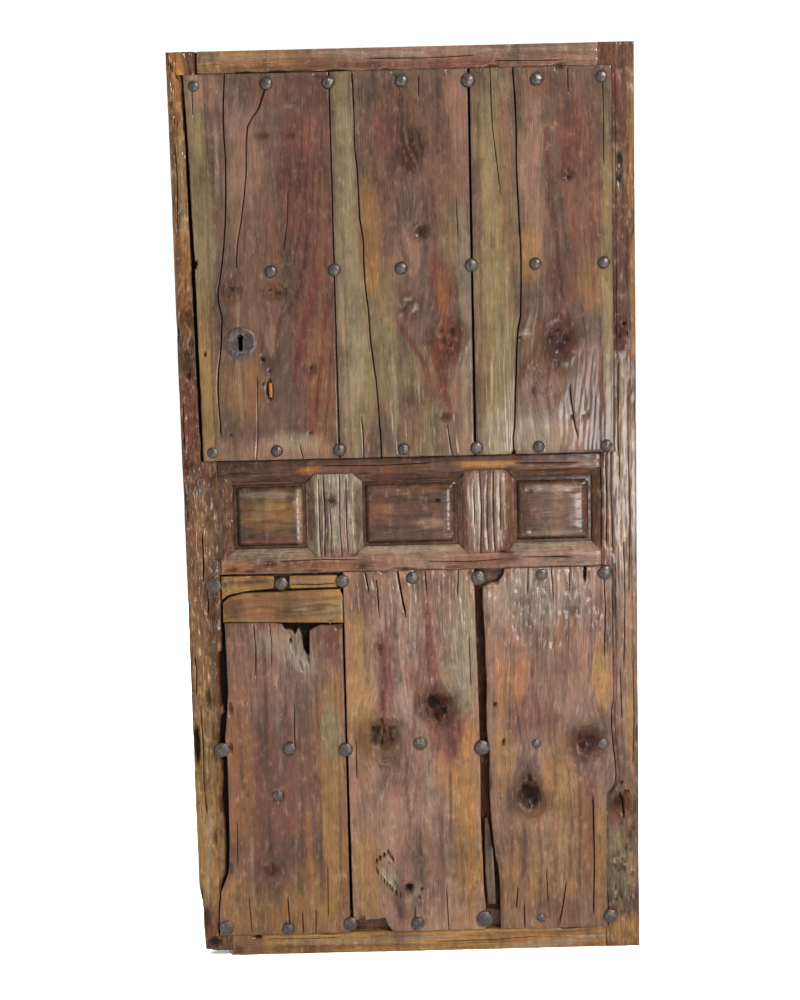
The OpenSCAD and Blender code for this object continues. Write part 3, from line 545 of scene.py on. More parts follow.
    # ---- the mesh
    def build(self):
        x, z, nominal, level = self.layout()
        rows, columns = x.shape
        front = np.asarray(self.face(x, z)) if callable(self.face) else np.full_like(x, self.face)
        back = np.asarray(self.back(x, z)) if callable(self.back) else np.full_like(x, self.back)
        u, v = self._grain(x, z, nominal, level)
        sink, tint, hollow, ring, dry = self._work(x, z, u, v)
        arris = size("arris")
        edge = np.minimum(np.minimum(x - x[:, :1], x[:, -1:] - x), np.minimum(z - z[:1], z[-1:] - z))
        chip = 0.75 + 0.7 * rough(x / 16, z / 16, self.seed + 21, 2)
        sink += 0.75 * arris * chip * np.clip(1 - edge / arris, 0, 1) ** 2
        for points, side in self.steps:
            gap = (x - line_at(points, z)) * side
            sink += 0.7 * arris * chip * np.where(gap > 0, np.clip(1 - gap / arris, 0, 1) ** 2, 0)
        depth = back - front
        # painted shade: the rebate or lap floor seen down a gap is flattened and nearly filled with the
        # hollow colour
        if self.floor_below is not None:
            low = front > self.floor_below
            sink = np.where(low, sink * 0.15, sink)
            hollow = np.where(low, 0.95, hollow)
        front_y = front + np.clip(sink, -2.5, np.maximum(depth - 1.5, 0))
        back_bump = 0.5 * rough(u / 9, v / 200, self.seed + 31, 2)
        back_bump = back_bump + 0.6 * rough(x / 60, z / 90, self.seed + 33)
        back_y = back + np.clip(back_bump, -0.8, 0.4) - 0.5 * arris * np.clip(1 - edge / arris, 0, 1) ** 2
        bpy.ops.mesh.primitive_grid_add(x_subdivisions=columns - 1, y_subdivisions=rows - 1, size=2)
        piece = bpy.context.object
        start_edit()
        for _ in range(len(LAYER_AT) - 1):
            bpy.ops.mesh.extrude_region_move(TRANSFORM_OT_translate={"value": (0, 0, 1)})
        end_edit()
        mesh = piece.data
        co = coordinates(mesh)
        i = np.rint((co[:, 0] + 1) / 2 * (columns - 1)).astype(int)
        j = np.rint((co[:, 1] + 1) / 2 * (rows - 1)).astype(int)
        t = LAYER_AT[np.rint(co[:, 2]).astype(int)]
        px, pz = x[j, i], z[j, i]
        y = back_y[j, i] * (1 - t) + front_y[j, i] * t
        inner = (t > 0) & (t < 1)
        sway = np.where(inner, 0.5 * rough(pz / 30 + px / 30, t * 3, self.seed + 41), 0)
        px = px + sway * np.where(i == 0, 1, np.where(i == columns - 1, -1, 0))
        pz = pz + sway * np.where(j == 0, 1, np.where(j == rows - 1, -1, 0))
        set_coordinates(mesh, np.column_stack([px, y, pz]) * MM)
        self._attributes(mesh, i, j, t, u, v, depth, tint, hollow, ring, dry)
        face_outwards(piece)
        piece.name = self.name
        return piece

    def _attributes(self, mesh, i, j, t, u, v, depth, tint, hollow, ring, dry):
        """Grain coordinates and colours, carried over the edges on to the sides and the back."""
        thick = float(np.max(depth))
        shift = self.seed * 0.613
        across = (u[j, i] + thick * (1 - t)) * MM + shift
        along = v[j, i] * MM + shift * 1.7
        vertex = np.empty(len(mesh.loops), dtype=np.int32)
        mesh.loops.foreach_get("vertex_index", vertex)
        layer = mesh.uv_layers.new(name="grain")
        layer.data.foreach_set("uv", np.column_stack([across, along])[vertex].astype(np.float32).ravel())
        plain = self.base * 0.95 + tone("brown") * 0.2
        deep = np.clip((1 - t) * 2.2, 0, 1)[:, None]
        colours = tint[j, i] * (1 - deep) + plain * (0.85 + 0.15 * rough(
            u[j, i] / 14, v[j, i] / 300, self.seed + 51, 2))[:, None] * deep
        write_attribute(mesh, "tint", colours)
        write_attribute(mesh, "hollow", hollow[j, i] * fade(t, 0.3, 0.9))
        write_attribute(mesh, "ring", np.where(t > 0.5, ring[j, i], 4))
        write_attribute(mesh, "dry", np.clip(dry[j, i], 0, 1))


# Depths of the slab's layers, 0 at the back and 1 at the front
LAYER_AT = np.array([0, 0.12, 0.86, 1])


def line_mid(points, level):
    """First coordinate of a polyline at a level, or in its middle."""
    points = sorted(points, key=lambda p: p[1])
    if level is None:
        return float(np.mean([p[0] for p in points]))
    return float(np.interp(level, [p[1] for p in points], [p[0] for p in points]))


def uprights(*places):
    """Straight lines up the leaf, one at each x."""
    return [[(x, 0)] for x in places]


def levels(*places):
    """Straight lines across the leaf, one at each z."""
    return [[(0, z)] for z in places]

# ---------------------------------------------------------------- finishes

class Value:
    """A shader socket that plain arithmetic can be written with."""

    def __init__(self, tree, socket):
        self.tree = tree
        self.socket = socket

    def _math(self, operation, first, second):
        node = self.tree.nodes.new("ShaderNodeMath")
        node.operation = operation
        for k, item in enumerate((first, second)):
            if isinstance(item, Value):
                self.tree.links.new(item.socket, node.inputs[k])
            else:
                node.inputs[k].default_value = item
        return Value(self.tree, node.outputs[0])

    def __add__(self, other):
        return self._math("ADD", self, other)

    def __radd__(self, other):
        return self._math("ADD", other, self)

    def __sub__(self, other):
        return self._math("SUBTRACT", self, other)

    def __rsub__(self, other):
        return self._math("SUBTRACT", other, self)

    def __mul__(self, other):
        return self._math("MULTIPLY", self, other)

    def __rmul__(self, other):
        return self._math("MULTIPLY", other, self)

    def __pow__(self, other):
        return self._math("POWER", self, other)


class Finish:
    """A material and the short ways in which its nodes are made."""

    def __init__(self, name):
        self.material = bpy.data.materials.new(name)
        self.material.use_nodes = True
        self.tree = self.material.node_tree
        self.shader = self.tree.nodes["Principled BSDF"]

    def node(self, kind, settings=None, sockets=None, output=0):
        node = self.tree.nodes.new(kind)
        for key, value in (settings or {}).items():
            if key == "stops":
                self._stops(node.color_ramp, value)
            else:
                setattr(node, key, value)
        for key, value in (sockets or {}).items():
            if isinstance(value, Value):
                self.tree.links.new(value.socket, node.inputs[key])
            else:
                node.inputs[key].default_value = value
        return Value(self.tree, node.outputs[output])

    @staticmethod
    def _stops(ramp, stops):
        while len(ramp.elements) < len(stops):
            ramp.elements.new(0.5)
        for element, (position, paint) in zip(ramp.elements, stops):
            element.position = position
            element.color = (*paint, 1) if len(paint) == 3 else paint

    def attribute(self, name, output="Fac"):
        return self.node("ShaderNodeAttribute", {"attribute_name": name}, output=output)

    def stretched(self, vector, scale, detail=2.0, roughness=0.5, output="Fac"):
        """Noise whose waves are about 1/scale long on each axis."""
        turned = self.node("ShaderNodeMapping", None, {"Vector": vector, "Scale": scale})
        return self.node("ShaderNodeTexNoise", None,
                         {"Vector": turned, "Scale": 1.0, "Detail": detail, "Roughness": roughness},
                         output)

    def between(self, value, low, high, to_low=0.0, to_high=1.0):
        return self.node("ShaderNodeMapRange", {"interpolation_type": "SMOOTHSTEP"}, {
            "Value": value, "From Min": low, "From Max": high, "To Min": to_low, "To Max": to_high})

    def mix(self, factor, first, second, blend="MIX"):
        return self.node("ShaderNodeMix", {"data_type": "RGBA", "blend_type": blend},
                         {0: factor, 6: first, 7: second}, 2)

    def scaled(self, paint, value):
        """A colour made lighter or darker by a value."""
        paint = paint if isinstance(paint, Value) else paint[:3]
        return self.node("ShaderNodeVectorMath", {"operation": "SCALE"}, {0: paint, "Scale": value})

    def feed(self, **sockets):
        for key, value in sockets.items():
            name = key.replace("_", " ").title().replace("Ior", "IOR")
            if isinstance(value, Value):
                self.tree.links.new(value.socket, self.shader.inputs[name])
            else:
                self.shader.inputs[name].default_value = value


def rgb(name):
    return (*getattr(bpy.context.scene.door_colours, name), 1)


def timber_finish(name, gloss, contrast, relief, coat=0.34):
    """Weathered, waxed wood: tint, damage and painted shade in the hollows come from the mesh, the grain from
    its own map.
    """
    f = Finish(name)
    grain = f.node("ShaderNodeUVMap", {"uv_map": "grain"})
    place = f.node("ShaderNodeTexCoord", output="Object")
    tint = f.attribute("tint", "Color")
    hollow = f.attribute("hollow")
    ring = f.attribute("ring")
    dry = f.attribute("dry")
    # waves from the whole board down to the fibre
    cloud = f.stretched(place, (13, 13, 6), 4, 0.65)
    drift = f.stretched(place, (31, 31, 11), 4, 0.6)
    mottle = f.stretched(place, (95, 95, 48), 4, 0.68)
    fleck = f.stretched(place, (270, 270, 150), 2, 0.6)
    strand = f.stretched(grain, (110, 5, 1), 3, 0.6)
    growth = f.stretched(grain, (340, 9, 1), 3, 0.62)
    fibre = f.stretched(grain, (1150, 26, 1), 3, 0.62)
    pore = f.stretched(grain, (900, 60, 1), 2)
    across = f.node("ShaderNodeSeparateXYZ", None, {0: grain})
    near_knot = 1 - f.between(ring, 0.9, 1.7)
    phase = across * 1350 + strand * 34 + near_knot * ring * 13
    year = f.node("ShaderNodeMath", {"operation": "SINE"}, {0: phase}) * 0.5 + 0.5
    late = f.between(growth * 0.8 + year * 0.2, 0.36, 0.62)
    worn = dry + 0.4
    light = (0.19 + (late - 0.5) * worn * (0.07 * contrast) + (fibre - 0.5) * worn * (0.14 * contrast)
             + (strand - 0.5) * (0.1 * contrast) + (cloud - 0.5) * 0.26 + (mottle - 0.5) * worn * 0.3
             + (drift - 0.5) * 0.28)
    pit = f.between(pore, 0.62, 0.74)
    light = light * (1 - pit * 0.25)
    light = f.node("ShaderNodeMath", {"operation": "MAXIMUM"}, {0: light, 1: 0.1})
    red = f.between(drift * 0.7 + mottle * 0.3, 0.5, 0.62)
    paint = f.mix(red * 0.2, tint, rgb("reddish"))
    grey = f.between(cloud * 0.5 + mottle * 0.5, 0.54, 0.68)
    paint = f.mix(grey * 0.1, paint, rgb("olive"))
    paint = f.scaled(paint, light)
    # painted highlight: the silver colour mixed in on the raised fibres and mottles stands in for glints and
    # sheen, over the wood's weathered grey
    silver = f.between(fibre * 0.45 + mottle * 0.55, 0.53, 0.66) * (0.35 + dry)
    paint = f.mix(silver * 0.15, paint, rgb("silver"))
    speck = f.between(fleck, 0.68, 0.75)
    paint = f.mix(speck * 0.12, paint, rgb("burnt"))
    # painted shade: the hollow attribute mixes in the near-black hollow colour inside splits, holes, gaps and
    # rebate floors, and the black of knot hearts
    paint = f.mix(f.between(hollow, 0.0, 1.0), paint, rgb("hollow"))
    shine = (gloss + (fibre - 0.5) * 0.5 + (mottle - 0.5) * 0.9 + (cloud - 0.5) * 0.6 + dry * 0.12
             + hollow * 0.4 + near_knot * 0.5)
    height = worn * (late * 0.34 + fibre * 0.34 + mottle * 1.2 + strand * 0.4 - pit * 0.3 - speck * 0.12
              + f.stretched(grain, (230, 24, 1), 3) * 0.5)
    normal = f.node("ShaderNodeBump", None, {"Strength": 1.0, "Distance": 0.0024 * relief, "Height": height})
    wax = (1 - near_knot * 0.75) * (1 - hollow) * coat
    f.feed(base_color=paint, roughness=f.between(shine, 0.1, 1.0, 0.16, 0.9), coat_weight=wax, normal=normal)
    f.shader.inputs["Coat Roughness"].default_value = 0.19
    f.shader.inputs["Coat IOR"].default_value = 1.4
    f.shader.inputs["IOR"].default_value = 1.12
    return f.material


def iron_finish(name, gloss, rusting):
    """Forged iron, dark with wax, with rust in its pits and rubbed bare here and there."""
    f = Finish(name)
    place = f.node("ShaderNodeTexCoord", output="Object")
    blotch = f.stretched(place, (75, 75, 75), 4, 0.62)
    scale = f.stretched(place, (310, 310, 310), 3, 0.6)
    grit = f.stretched(place, (1300, 1300, 1300), 2)
    hammer = f.node("ShaderNodeTexVoronoi", {"feature": "SMOOTH_F1"},
                    {"Vector": place, "Scale": 170.0, "Smoothness": 0.7})
    rusty = f.between(blotch * 0.6 + scale * 0.4, 0.62 - 0.2 * rusting, 0.7)
    bare = f.between(scale * 0.5 + grit * 0.5, 0.56, 0.66)
    paint = f.scaled(f.mix(rusty, rgb("iron"), rgb("rust")), 0.7 + blotch * 0.6)
    paint = f.mix(bare * 0.3, paint, (0.33, 0.3, 0.27, 1))
    shine = gloss + rusty * 0.25 + (scale - 0.5) * 0.35
    height = hammer * 0.5 + scale * 0.5 + grit * 0.15 + rusty * 0.2
    normal = f.node("ShaderNodeBump", None, {"Strength": 0.55, "Distance": 0.0012, "Height": height})
    f.feed(base_color=paint, roughness=shine, metallic=0.75 - rusty * 0.5, normal=normal)
    return f.material


def wedge_finish(name):
    """Plain end grain of the tenons' wedges."""
    f = Finish(name)
    place = f.node("ShaderNodeTexCoord", output="Object")
    streak = f.stretched(place, (60, 900, 900), 3, 0.6)
    paint = f.scaled(rgb("ochre"), 0.4 + streak * 0.8)
    normal = f.node("ShaderNodeBump", None, {"Strength": 0.6, "Distance": 0.0006, "Height": streak})
    f.feed(base_color=paint, roughness=0.5 + streak * 0.3, normal=normal)
    return f.material


def floor_finish(name):
    f = Finish(name)
    place = f.node("ShaderNodeTexCoord", output="Object")
    cloud = f.stretched(place, (1.5, 1.5, 1.5), 2)
    f.feed(base_color=f.scaled(rgb("floor"), 0.985 + cloud * 0.03), roughness=0.8)
    return f.material


# How each finish is made, and with what
FINISHES = {
    "frame_wood": (timber_finish, {"gloss": 0.42, "contrast": 1.05, "relief": 1.1}),
    "board_wood": (timber_finish, {"gloss": 0.4, "contrast": 1.0, "relief": 1.1}),
    "panel_wood": (timber_finish, {"gloss": 0.26, "contrast": 0.8, "relief": 0.7}),
    "patch_wood": (timber_finish, {"gloss": 0.42, "contrast": 0.7, "relief": 0.5}),
    "wedge_wood": (wedge_finish, {}),
    "back_wood": (timber_finish, {"gloss": 0.62, "contrast": 0.9, "relief": 0.8, "coat": 0.0}),
    "forged_iron": (iron_finish, {"gloss": 0.38, "rusting": 0.5}),
    "lock_iron": (iron_finish, {"gloss": 0.5, "rusting": 0.8}),
    "plain_floor": (floor_finish, {}),
}
MADE = {}


def finish(name):
    """The material of that name, made when it is first asked for."""
    if name not in MADE:
        kind, values = FINISHES[name]
        MADE[name] = kind(name, **values)
    return MADE[name]

# ---------------------------------------------------------------- frame of the leaf

def shifted(points, dx):
    return [(p[0] + dx, p[1]) for p in points]


def from_left(*pairs):
    return [(EDGE_L + a, z) for a, z in pairs]


def from_right(*pairs):
    return [(EDGE_R - a, z) for a, z in pairs]


def chamfer_sink(x, z):
    """How far the chamfers round the panel openings lie behind the frame's face."""
    out = np.zeros_like(x)
    for a, b in OPENINGS:
        dx = np.maximum(np.maximum(a - x, x - b), 0)
        dz = np.maximum(np.maximum(BAND_Z - z, z - BAND_TOP_Z), 0)
        out = np.maximum(out, CHAMFER_D * np.clip(1 - np.maximum(dx, dz) / CHAMFER_W, 0, 1))
    return out


# Heights at which the stiles' inner edges change, a hair below and above each line
STILE_LEVELS = [END_SHOW_Z, LOWER_BOARDS_Z, LOWER_FLAT_Z, UPPER_FLAT_Z, UPPER_BOARDS_Z, TOP_SHOW_Z]
HAIR = 0.1
MID_LAP_L = EDGE_L + 75
TOP_LAP_L = EDGE_L + 64
TOP_LAP_R = EDGE_R - 75
BOTTOM_LAP_L = EDGE_L + 68
BOTTOM_LAP_R = EDGE_R - 74


def stile_edge(bottom, lower, middle, inner, upper, top):
    """Inner edge of a stile's face, with its jumps at the rails and the panels."""
    low, base, flat, over, boards, show = STILE_LEVELS
    lower = [(x, min(max(z, low + HAIR), base - HAIR)) for x, z in lower]
    upper = [(x, min(max(z, boards + HAIR), show - HAIR)) for x, z in upper]
    return [(bottom, 0), (bottom, low - HAIR), *lower, (middle, base + HAIR), (middle, flat - HAIR),
            (inner, flat + HAIR), (inner, over - HAIR), (middle, over + HAIR), (middle, boards - HAIR),
            *upper, (top, show + HAIR), (top, LEAF_H)]


def stile_levels():
    beside = [z + s * HAIR for z in STILE_LEVELS for s in (-1, 1)]
    return levels(*sorted(beside + [BAND_Z, BAND_TOP_Z]), LEAF_H)


def stile_face(edge, side):
    """Face of a stile, whose inner side is side (1 right, -1 left) of its edge line."""
    def face(x, z):
        beyond = (x - line_at(edge, z)) * side > 0
        mitre_x = INNER_L - CHAMFER_W if side > 0 else INNER_R + CHAMFER_W
        run = (x - mitre_x) * side
        past_mitre = ((run > UPPER_FLAT_Z - z) & (z > BAND_TOP_Z)) | ((run > z - LOWER_FLAT_Z) & (z < BAND_Z))
        y = FRONT_Y + chamfer_sink(x, z) + np.where(past_mitre & (run > 0), 1.5, 0)
        return np.where(beyond, REBATE_Y, np.minimum(y, REBATE_Y))
    return face


def left_stile():
    lower = from_left((41, 47), (42, 100), (47, 150), (63.5, 190), (65, 250), (66, 300), (59, 350), (64, 400),
                      (65, 440), (58, 490), (62, 520), (67, 550), (65, 600), (65, 650), (67, 700), (72, 820),
                      (72, 853))
    upper = from_left((42, UPPER_BOARDS_Z), (39, 1250), (36, 1500), (32, TOP_SHOW_Z))
    edge = stile_edge(BOTTOM_LAP_L, lower, MID_LAP_L, INNER_L - 0.5, upper, TOP_LAP_L)
    chamfer = [(min(INNER_L - CHAMFER_W, x - 6), z) for x, z in edge]
    outer = from_left((10, 0), (10, 16), (8, 60), (7, 100), (4, 140), (0.5, 160), (0, 500), (1.2, 900),
                      (0, 1300), (0.8, 1700), (0, LEAF_H))
    foot = [(EDGE_L, 17), (EDGE_L + 38, 12), (INNER_L, 12)]
    t = Timber("left_stile_wood",
               [outer, chamfer, shifted(edge, -0.15), shifted(edge, 0.15), *uprights(INNER_L)],
               [foot, *stile_levels()], stile_face(edge, 1), BACK_Y, seed=3, base="brown")
    t.wear(floor_below=REBATE_Y - 0.6, steps=[(edge, -1)], gnarl=1.3, lumps=2.2, relief=1.35, dry=0.5)
    t.base = t.base * 0.9 + tone("orange") * 0.1
    t.add("patch", (-466, 1700, 30, 300, "ochre", 0.42), (-466, 1500, 22, 120, "orange", 0.35),
        (-466, 300, 40, 330, "ochre", 0.75), (-470, 620, 30, 190, "ochre", 0.55),
        (-466, 1180, 26, 130, "reddish", 0.45), (-425, 960, 40, 90, "pinkish", 0.55),
        (-450, 960, 50, 170, "ochre", 0.12), (-470, 960, 14, 110, "brown", 0.3),
        (-440, 1060, 24, 30, "reddish", 0.4), (-470, 60, 25, 70, "reddish", 0.5),
        (-468, 1890, 18, 60, "orange", 0.4))
    t.add("streak", ([(-478, 1930), (-474, 1600), (-478, 1430)], 5, "burnt", 0.45),
        ([(-458, 1840), (-462, 1650), (-459, 1540)], 4, "pale", 0.4),
        ([(-482, 700), (-478, 480)], 4, "burnt", 0.4), ([(-455, 340), (-462, 130)], 6, "pale", 0.35))
    t.add("split", ([(-480, 1822), (-468, 1806), (-452, 1790)], 1.3, 8),
        ([(-480, 1930), (-470, 1911), (-457, 1892)], 1.2, 7),
        ([(-474, 675), (-471, 640), (-474, 596)], 1.6, 9),
        ([(-441, 812), (-440, 790), (-442, 768)], 1.8, 9),
        ([(-448, 938), (-447, 890), (-449, 848)], 2.6, 13), ([(-478, 1010), (-477, 966)], 1.4, 8),
        ([(-485 + 8, 1218), (-479, 1163), (-477, 1128)], 1.6, 9),
        ([(-484 + 6, 152), (-480, 125), (-478, 100)], 2, 10),
        ([(-466, 560), (-463, 480), (-465, 400), (-462, 330)], 1.1, 7),
        ([(-473, 1760), (-471, 1690), (-474, 1600)], 1.0, 6))
    t.add("knot", (-462, 1404, 11, 16, "burnt", 0.6, 3), (-465, 1315, 9, 15, "purple", 0.6, 3),
        (-464, 1290, 8, 10, "burnt", 0.5, 2), (-472, 1088, 10, 13, "reddish", 0.7, 2.5))
    t.add("dent", (-443, 1515, 8.5, 9, 30, 1.0, 0, 0.12), (-478, 477, 8, 46, 13, 0.9, 0, 0.35),
        (-424, 1010, 20, 32, 3.2, 0.25, 20), (-418, 905, 20, 40, 3.6, 0.3, -12),
        (-436, 965, 12, 26, 3, 0.35), (-408, 958, 9, 30, 2.5, 0.3, 10), (-470, 90, 9, 30, 5, 0.6),
        (-456, 30, 20, 14, 8, 0.75), (-483, 1375, 5, 22, 7, 0.6), (-484, 1020, 6, 30, 6, 0.5),
        (-484, 780, 5, 24, 6, 0.5), (-483, 1640, 4, 20, 5, 0.5), (-449, 585, 6, 24, 5, 0.6),
        (-446, 270, 7, 20, 5, 0.5), (-462, 1280, 5, 6, 3, 0.8), (-455, 1350, 5, 18, 3.5, 0.5),
        (-463, 1470, 4, 14, 3, 0.5))
    t.add("patch", (-458, 1398, 5, 6, "pale", 0.6), (-461, 1311, 4, 5, "pale", 0.6),
        (-443, 1040, 10, 16, "pale", 0.3))
    return t


def right_stile():
    lower = from_right((69, 47), (69, 110), (72, 150), (74, 200), (74, 300), (71, 345), (51, 372), (49, 400),
                       (54, 450), (58, 500), (58, 530), (54, 560), (54, 853))
    upper = from_right((47, UPPER_BOARDS_Z), (47, TOP_SHOW_Z))
    middle = INNER_R + CHAMFER_W
    edge = stile_edge(BOTTOM_LAP_R, lower, middle, INNER_R + 0.5, upper, TOP_LAP_R)
    chamfer = [(max(middle, x + 6), z) for x, z in edge]
    outer = from_right((0, 0), (0.8, 200), (0, 420), (0.6, 900), (0, 1400), (0.5, 1700), (0, LEAF_H))
    t = Timber("right_stile_wood",
               [*uprights(INNER_R), shifted(edge, -0.15), shifted(edge, 0.15), chamfer, outer],
               [*levels(0), *stile_levels()], stile_face(edge, -1), BACK_Y, seed=5, base="brown")
    t.wear(floor_below=REBATE_Y - 0.6, steps=[(edge, 1)], gnarl=0.35, relief=1.0, dry=0.6)
    # the pale, silver and mauve patches down the middle of the stile are its weathered grey together with a
    # broad painted sheen
    t.add("patch", (462, 1650, 30, 330, "pinkish", 0.35), (462, 1420, 30, 120, "purple", 0.45),
        (455, 1085, 34, 230, "pale", 0.36), (462, 1000, 30, 190, "silver", 0.3),
        (462, 1010, 30, 170, "mauve", 0.3), (462, 700, 30, 260, "mauve", 0.35),
        (468, 560, 12, 300, "ochre", 0.35), (448, 200, 44, 110, "purple", 0.5),
        (448, 200, 40, 95, "olive", 0.4), (448, 36, 44, 40, "ochre", 0.85),
        (448, 400, 40, 60, "pinkish", 0.5))
    t.add("streak", ([(480, 1900), (477, 1600), (481, 1300)], 5, "ochre", 0.5),
        ([(446, 1880), (444, 1720)], 5, "reddish", 0.5), ([(470, 1560), (466, 1430)], 6, "burnt", 0.4),
        ([(436, 1300), (440, 1100), (436, 900), (440, 700)], 4, "burnt", 0.5),
        ([(458, 1290), (455, 1000), (459, 760)], 4, "pale", 0.45),
        ([(474, 1250), (472, 1000), (476, 640)], 3, "burnt", 0.5))
    t.add("patch", (455, 1690, 13, 52, "olive", 0.75), (453, 1690, 8, 44, "burnt", 0.65))
    t.add("dent", (454, 1712, 6, 20, 4, 0.7), (452, 1672, 7, 15, 4, 0.7))
    t.add("knot", (449, 1352, 16, 34, "purple", 0.75, 3), (452, 320, 20, 22, "burnt", 0.5, 3))
    t.add("scar", ([(409, 1352), (430, 1357), (454, 1367), (479, 1372)], 2.4, 8),
        ([(436, 1338), (452, 1342), (470, 1350)], 1.6, 6))
    t.add("split", ([(407, 1110), (409, 1000), (408, 895)], 2.0, 7),
        ([(419, 1085), (421, 1000), (419, 905)], 1.4, 6), ([(431, 1098), (430, 1010), (433, 890)], 1.1, 5),
        ([(448, 1290), (446, 1150), (449, 1040)], 1.3, 6),
        ([(468, 1240), (467, 1100), (470, 960), (467, 800)], 0.9, 4),
        ([(456, 900), (458, 780), (455, 640)], 1.2, 6), ([(474, 640), (476, 520), (473, 420)], 1.1, 6),
        ([(447, 620), (449, 520)], 1.1, 6))
    t.add("scar", ([(409, 371), (424, 350), (443, 347), (450, 330), (452, 296)], 3.4, 11),
        ([(443, 347), (460, 352), (478, 344)], 2, 6), ([(424, 392), (440, 372), (462, 368)], 2.2, 6))
    t.add("dent", (440, 330, 14, 16, 5, 0.6), (426, 362, 8, 8, 5, 0.8), (455, 250, 16, 40, 2.6, 0.35))
    for k in range(26):
        px, pz = 420 + 58 * lattice(k, 3, 7), 100 + 200 * lattice(k, 5, 9)
        t.dent(px, pz, 3 + 3 * lattice(k, 1, 2), 4 + 6 * lattice(k, 2, 2), 2.2, 0.55)
    t.add("dent", (481, 480, 4, 22, 4, 0.5), (483, 1180, 4, 26, 4, 0.5), (482, 1560, 4, 14, 3, 0.4))
    return t


END_RAIL_H = 87
MID_RAIL_H = 92
TENON_H = 52


def rail_ends(low, tenon_z, seed):
    """The hidden body of a rail between the stiles, and its through tenons."""
    left = EDGE_L + 12 if low < 1 else EDGE_L
    outer = min(low, LEAF_H - END_RAIL_H - low) < 1
    high = low + (END_RAIL_H if outer else MID_RAIL_H)
    body = Timber("rail_body", uprights(INNER_L + 0.2, INNER_R - 0.2), levels(low + 0.2, high - 0.2),
                  REBATE_Y, BACK_Y, "x", seed, "brown")
    tenon = Timber("rail_tenon", uprights(left - 0.35, EDGE_R + 0.35), levels(tenon_z, tenon_z + TENON_H),
                   REBATE_Y + 6, REBATE_Y + 20, "x", seed, "brown")
    return [body.wear(coarse=2.2), tenon.wear(coarse=4)]


def rail_face(x, z):
    return FRONT_Y + chamfer_sink(x, z)


def rail_front(name, x_lines, z_lines, seed, base):
    return Timber(name, x_lines, z_lines, rail_face, REBATE_Y + 0.5, "x", seed, base)


def top_rail():
    low = [(TOP_LAP_L, TOP_SHOW_Z), (-350, TOP_SHOW_Z + 0.5), (-330, TOP_SHOW_Z + 3), (-280, TOP_SHOW_Z + 2),
           (-240, TOP_SHOW_Z + 4), (-200, TOP_SHOW_Z + 1), (-120, TOP_SHOW_Z + 3), (-90, TOP_SHOW_Z),
           (TOP_LAP_R, TOP_SHOW_Z)]
    t = rail_front("top_rail_wood", uprights(TOP_LAP_L, TOP_LAP_R), [low, *levels(LEAF_H)], 7, "mauve")
    t.add("patch", (-300, 1925, 180, 40, "ochre", 0.45), (-120, 1930, 120, 22, "brown", 0.4),
        (240, 1925, 190, 40, "pinkish", 0.3), (60, 1912, 160, 12, "reddish", 0.3))
    t.add("streak", ([(-400, 1935), (-150, 1938), (60, 1934)], 6, "pale", 0.3),
        ([(-380, 1915), (-200, 1913), (-40, 1916)], 5, "burnt", 0.35),
        ([(80, 1938), (300, 1940), (400, 1936)], 5, "pale", 0.3))
    t.add("split", ([(-60, 1928), (60, 1926), (150, 1929)], 1.0, 5), ([(200, 1917), (330, 1915)], 0.9, 5))
    for x, w in ((-330, 22), (-262, 16), (-200, 26), (-140, 14), (-30, 10), (190, 16), (330, 12)):
        t.dent(x, TOP_SHOW_Z + 1, w, 5, 5, 0.45)
    return t


def bottom_rail():
    t = rail_front("bottom_rail_wood", uprights(BOTTOM_LAP_L, BOTTOM_LAP_R), levels(0, END_SHOW_Z), 11,
                   "ochre")
    t.wear(dry=0.35)
    t.base = t.base * 1.15
    t.add("patch", (-378, 24, 40, 40, "pinkish", 0.65), (-60, 34, 60, 12, "pinkish", 0.35),
        (300, 16, 120, 14, "orange", 0.4), (-250, 12, 90, 12, "brown", 0.3))
    t.add("streak", ([(186, 2), (300, 13), (409, 25)], 7, "pale", 0.6),
        ([(-300, 30), (-100, 26), (60, 30)], 5, "pale", 0.35),
        ([(-320, 18), (0, 14), (240, 20)], 3, "reddish", 0.4), ([(100, 34), (380, 38)], 4, "brown", 0.4))
    t.add("split", ([(-330, 36), (-240, 34), (-180, 36)], 1.2, 5),
        ([(40, 20), (160, 22), (260, 27)], 1.1, 5))
    t.add("dent", (-360, 41, 9, 7, 9, 0.9), (-405, 10, 18, 10, 4, 0.5), (90, 4, 30, 4, 3, 0.3),
        (-200, 46, 30, 4, 4, 0.5), (330, 46, 30, 3, 3, 0.4))
    return t


def mitred(flat, opening, sign):
    """Edge of a rail's front beside the panels: flat between them, out to the openings."""
    near = flat - sign * 0.4
    points = [(MID_LAP_L, near)]
    for a, b in OPENINGS:
        points += [(a - CHAMFER_W, near), (a, opening), (b, opening), (b + CHAMFER_W, near)]
    return points


def rail_columns():
    """Places where a middle rail's mitres begin and end, between its own two ends."""
    bends = [x for a, b in OPENINGS for x in (a - CHAMFER_W, a, b, b + CHAMFER_W)]
    return [MID_LAP_L, *bends[:-1], INNER_R + CHAMFER_W]


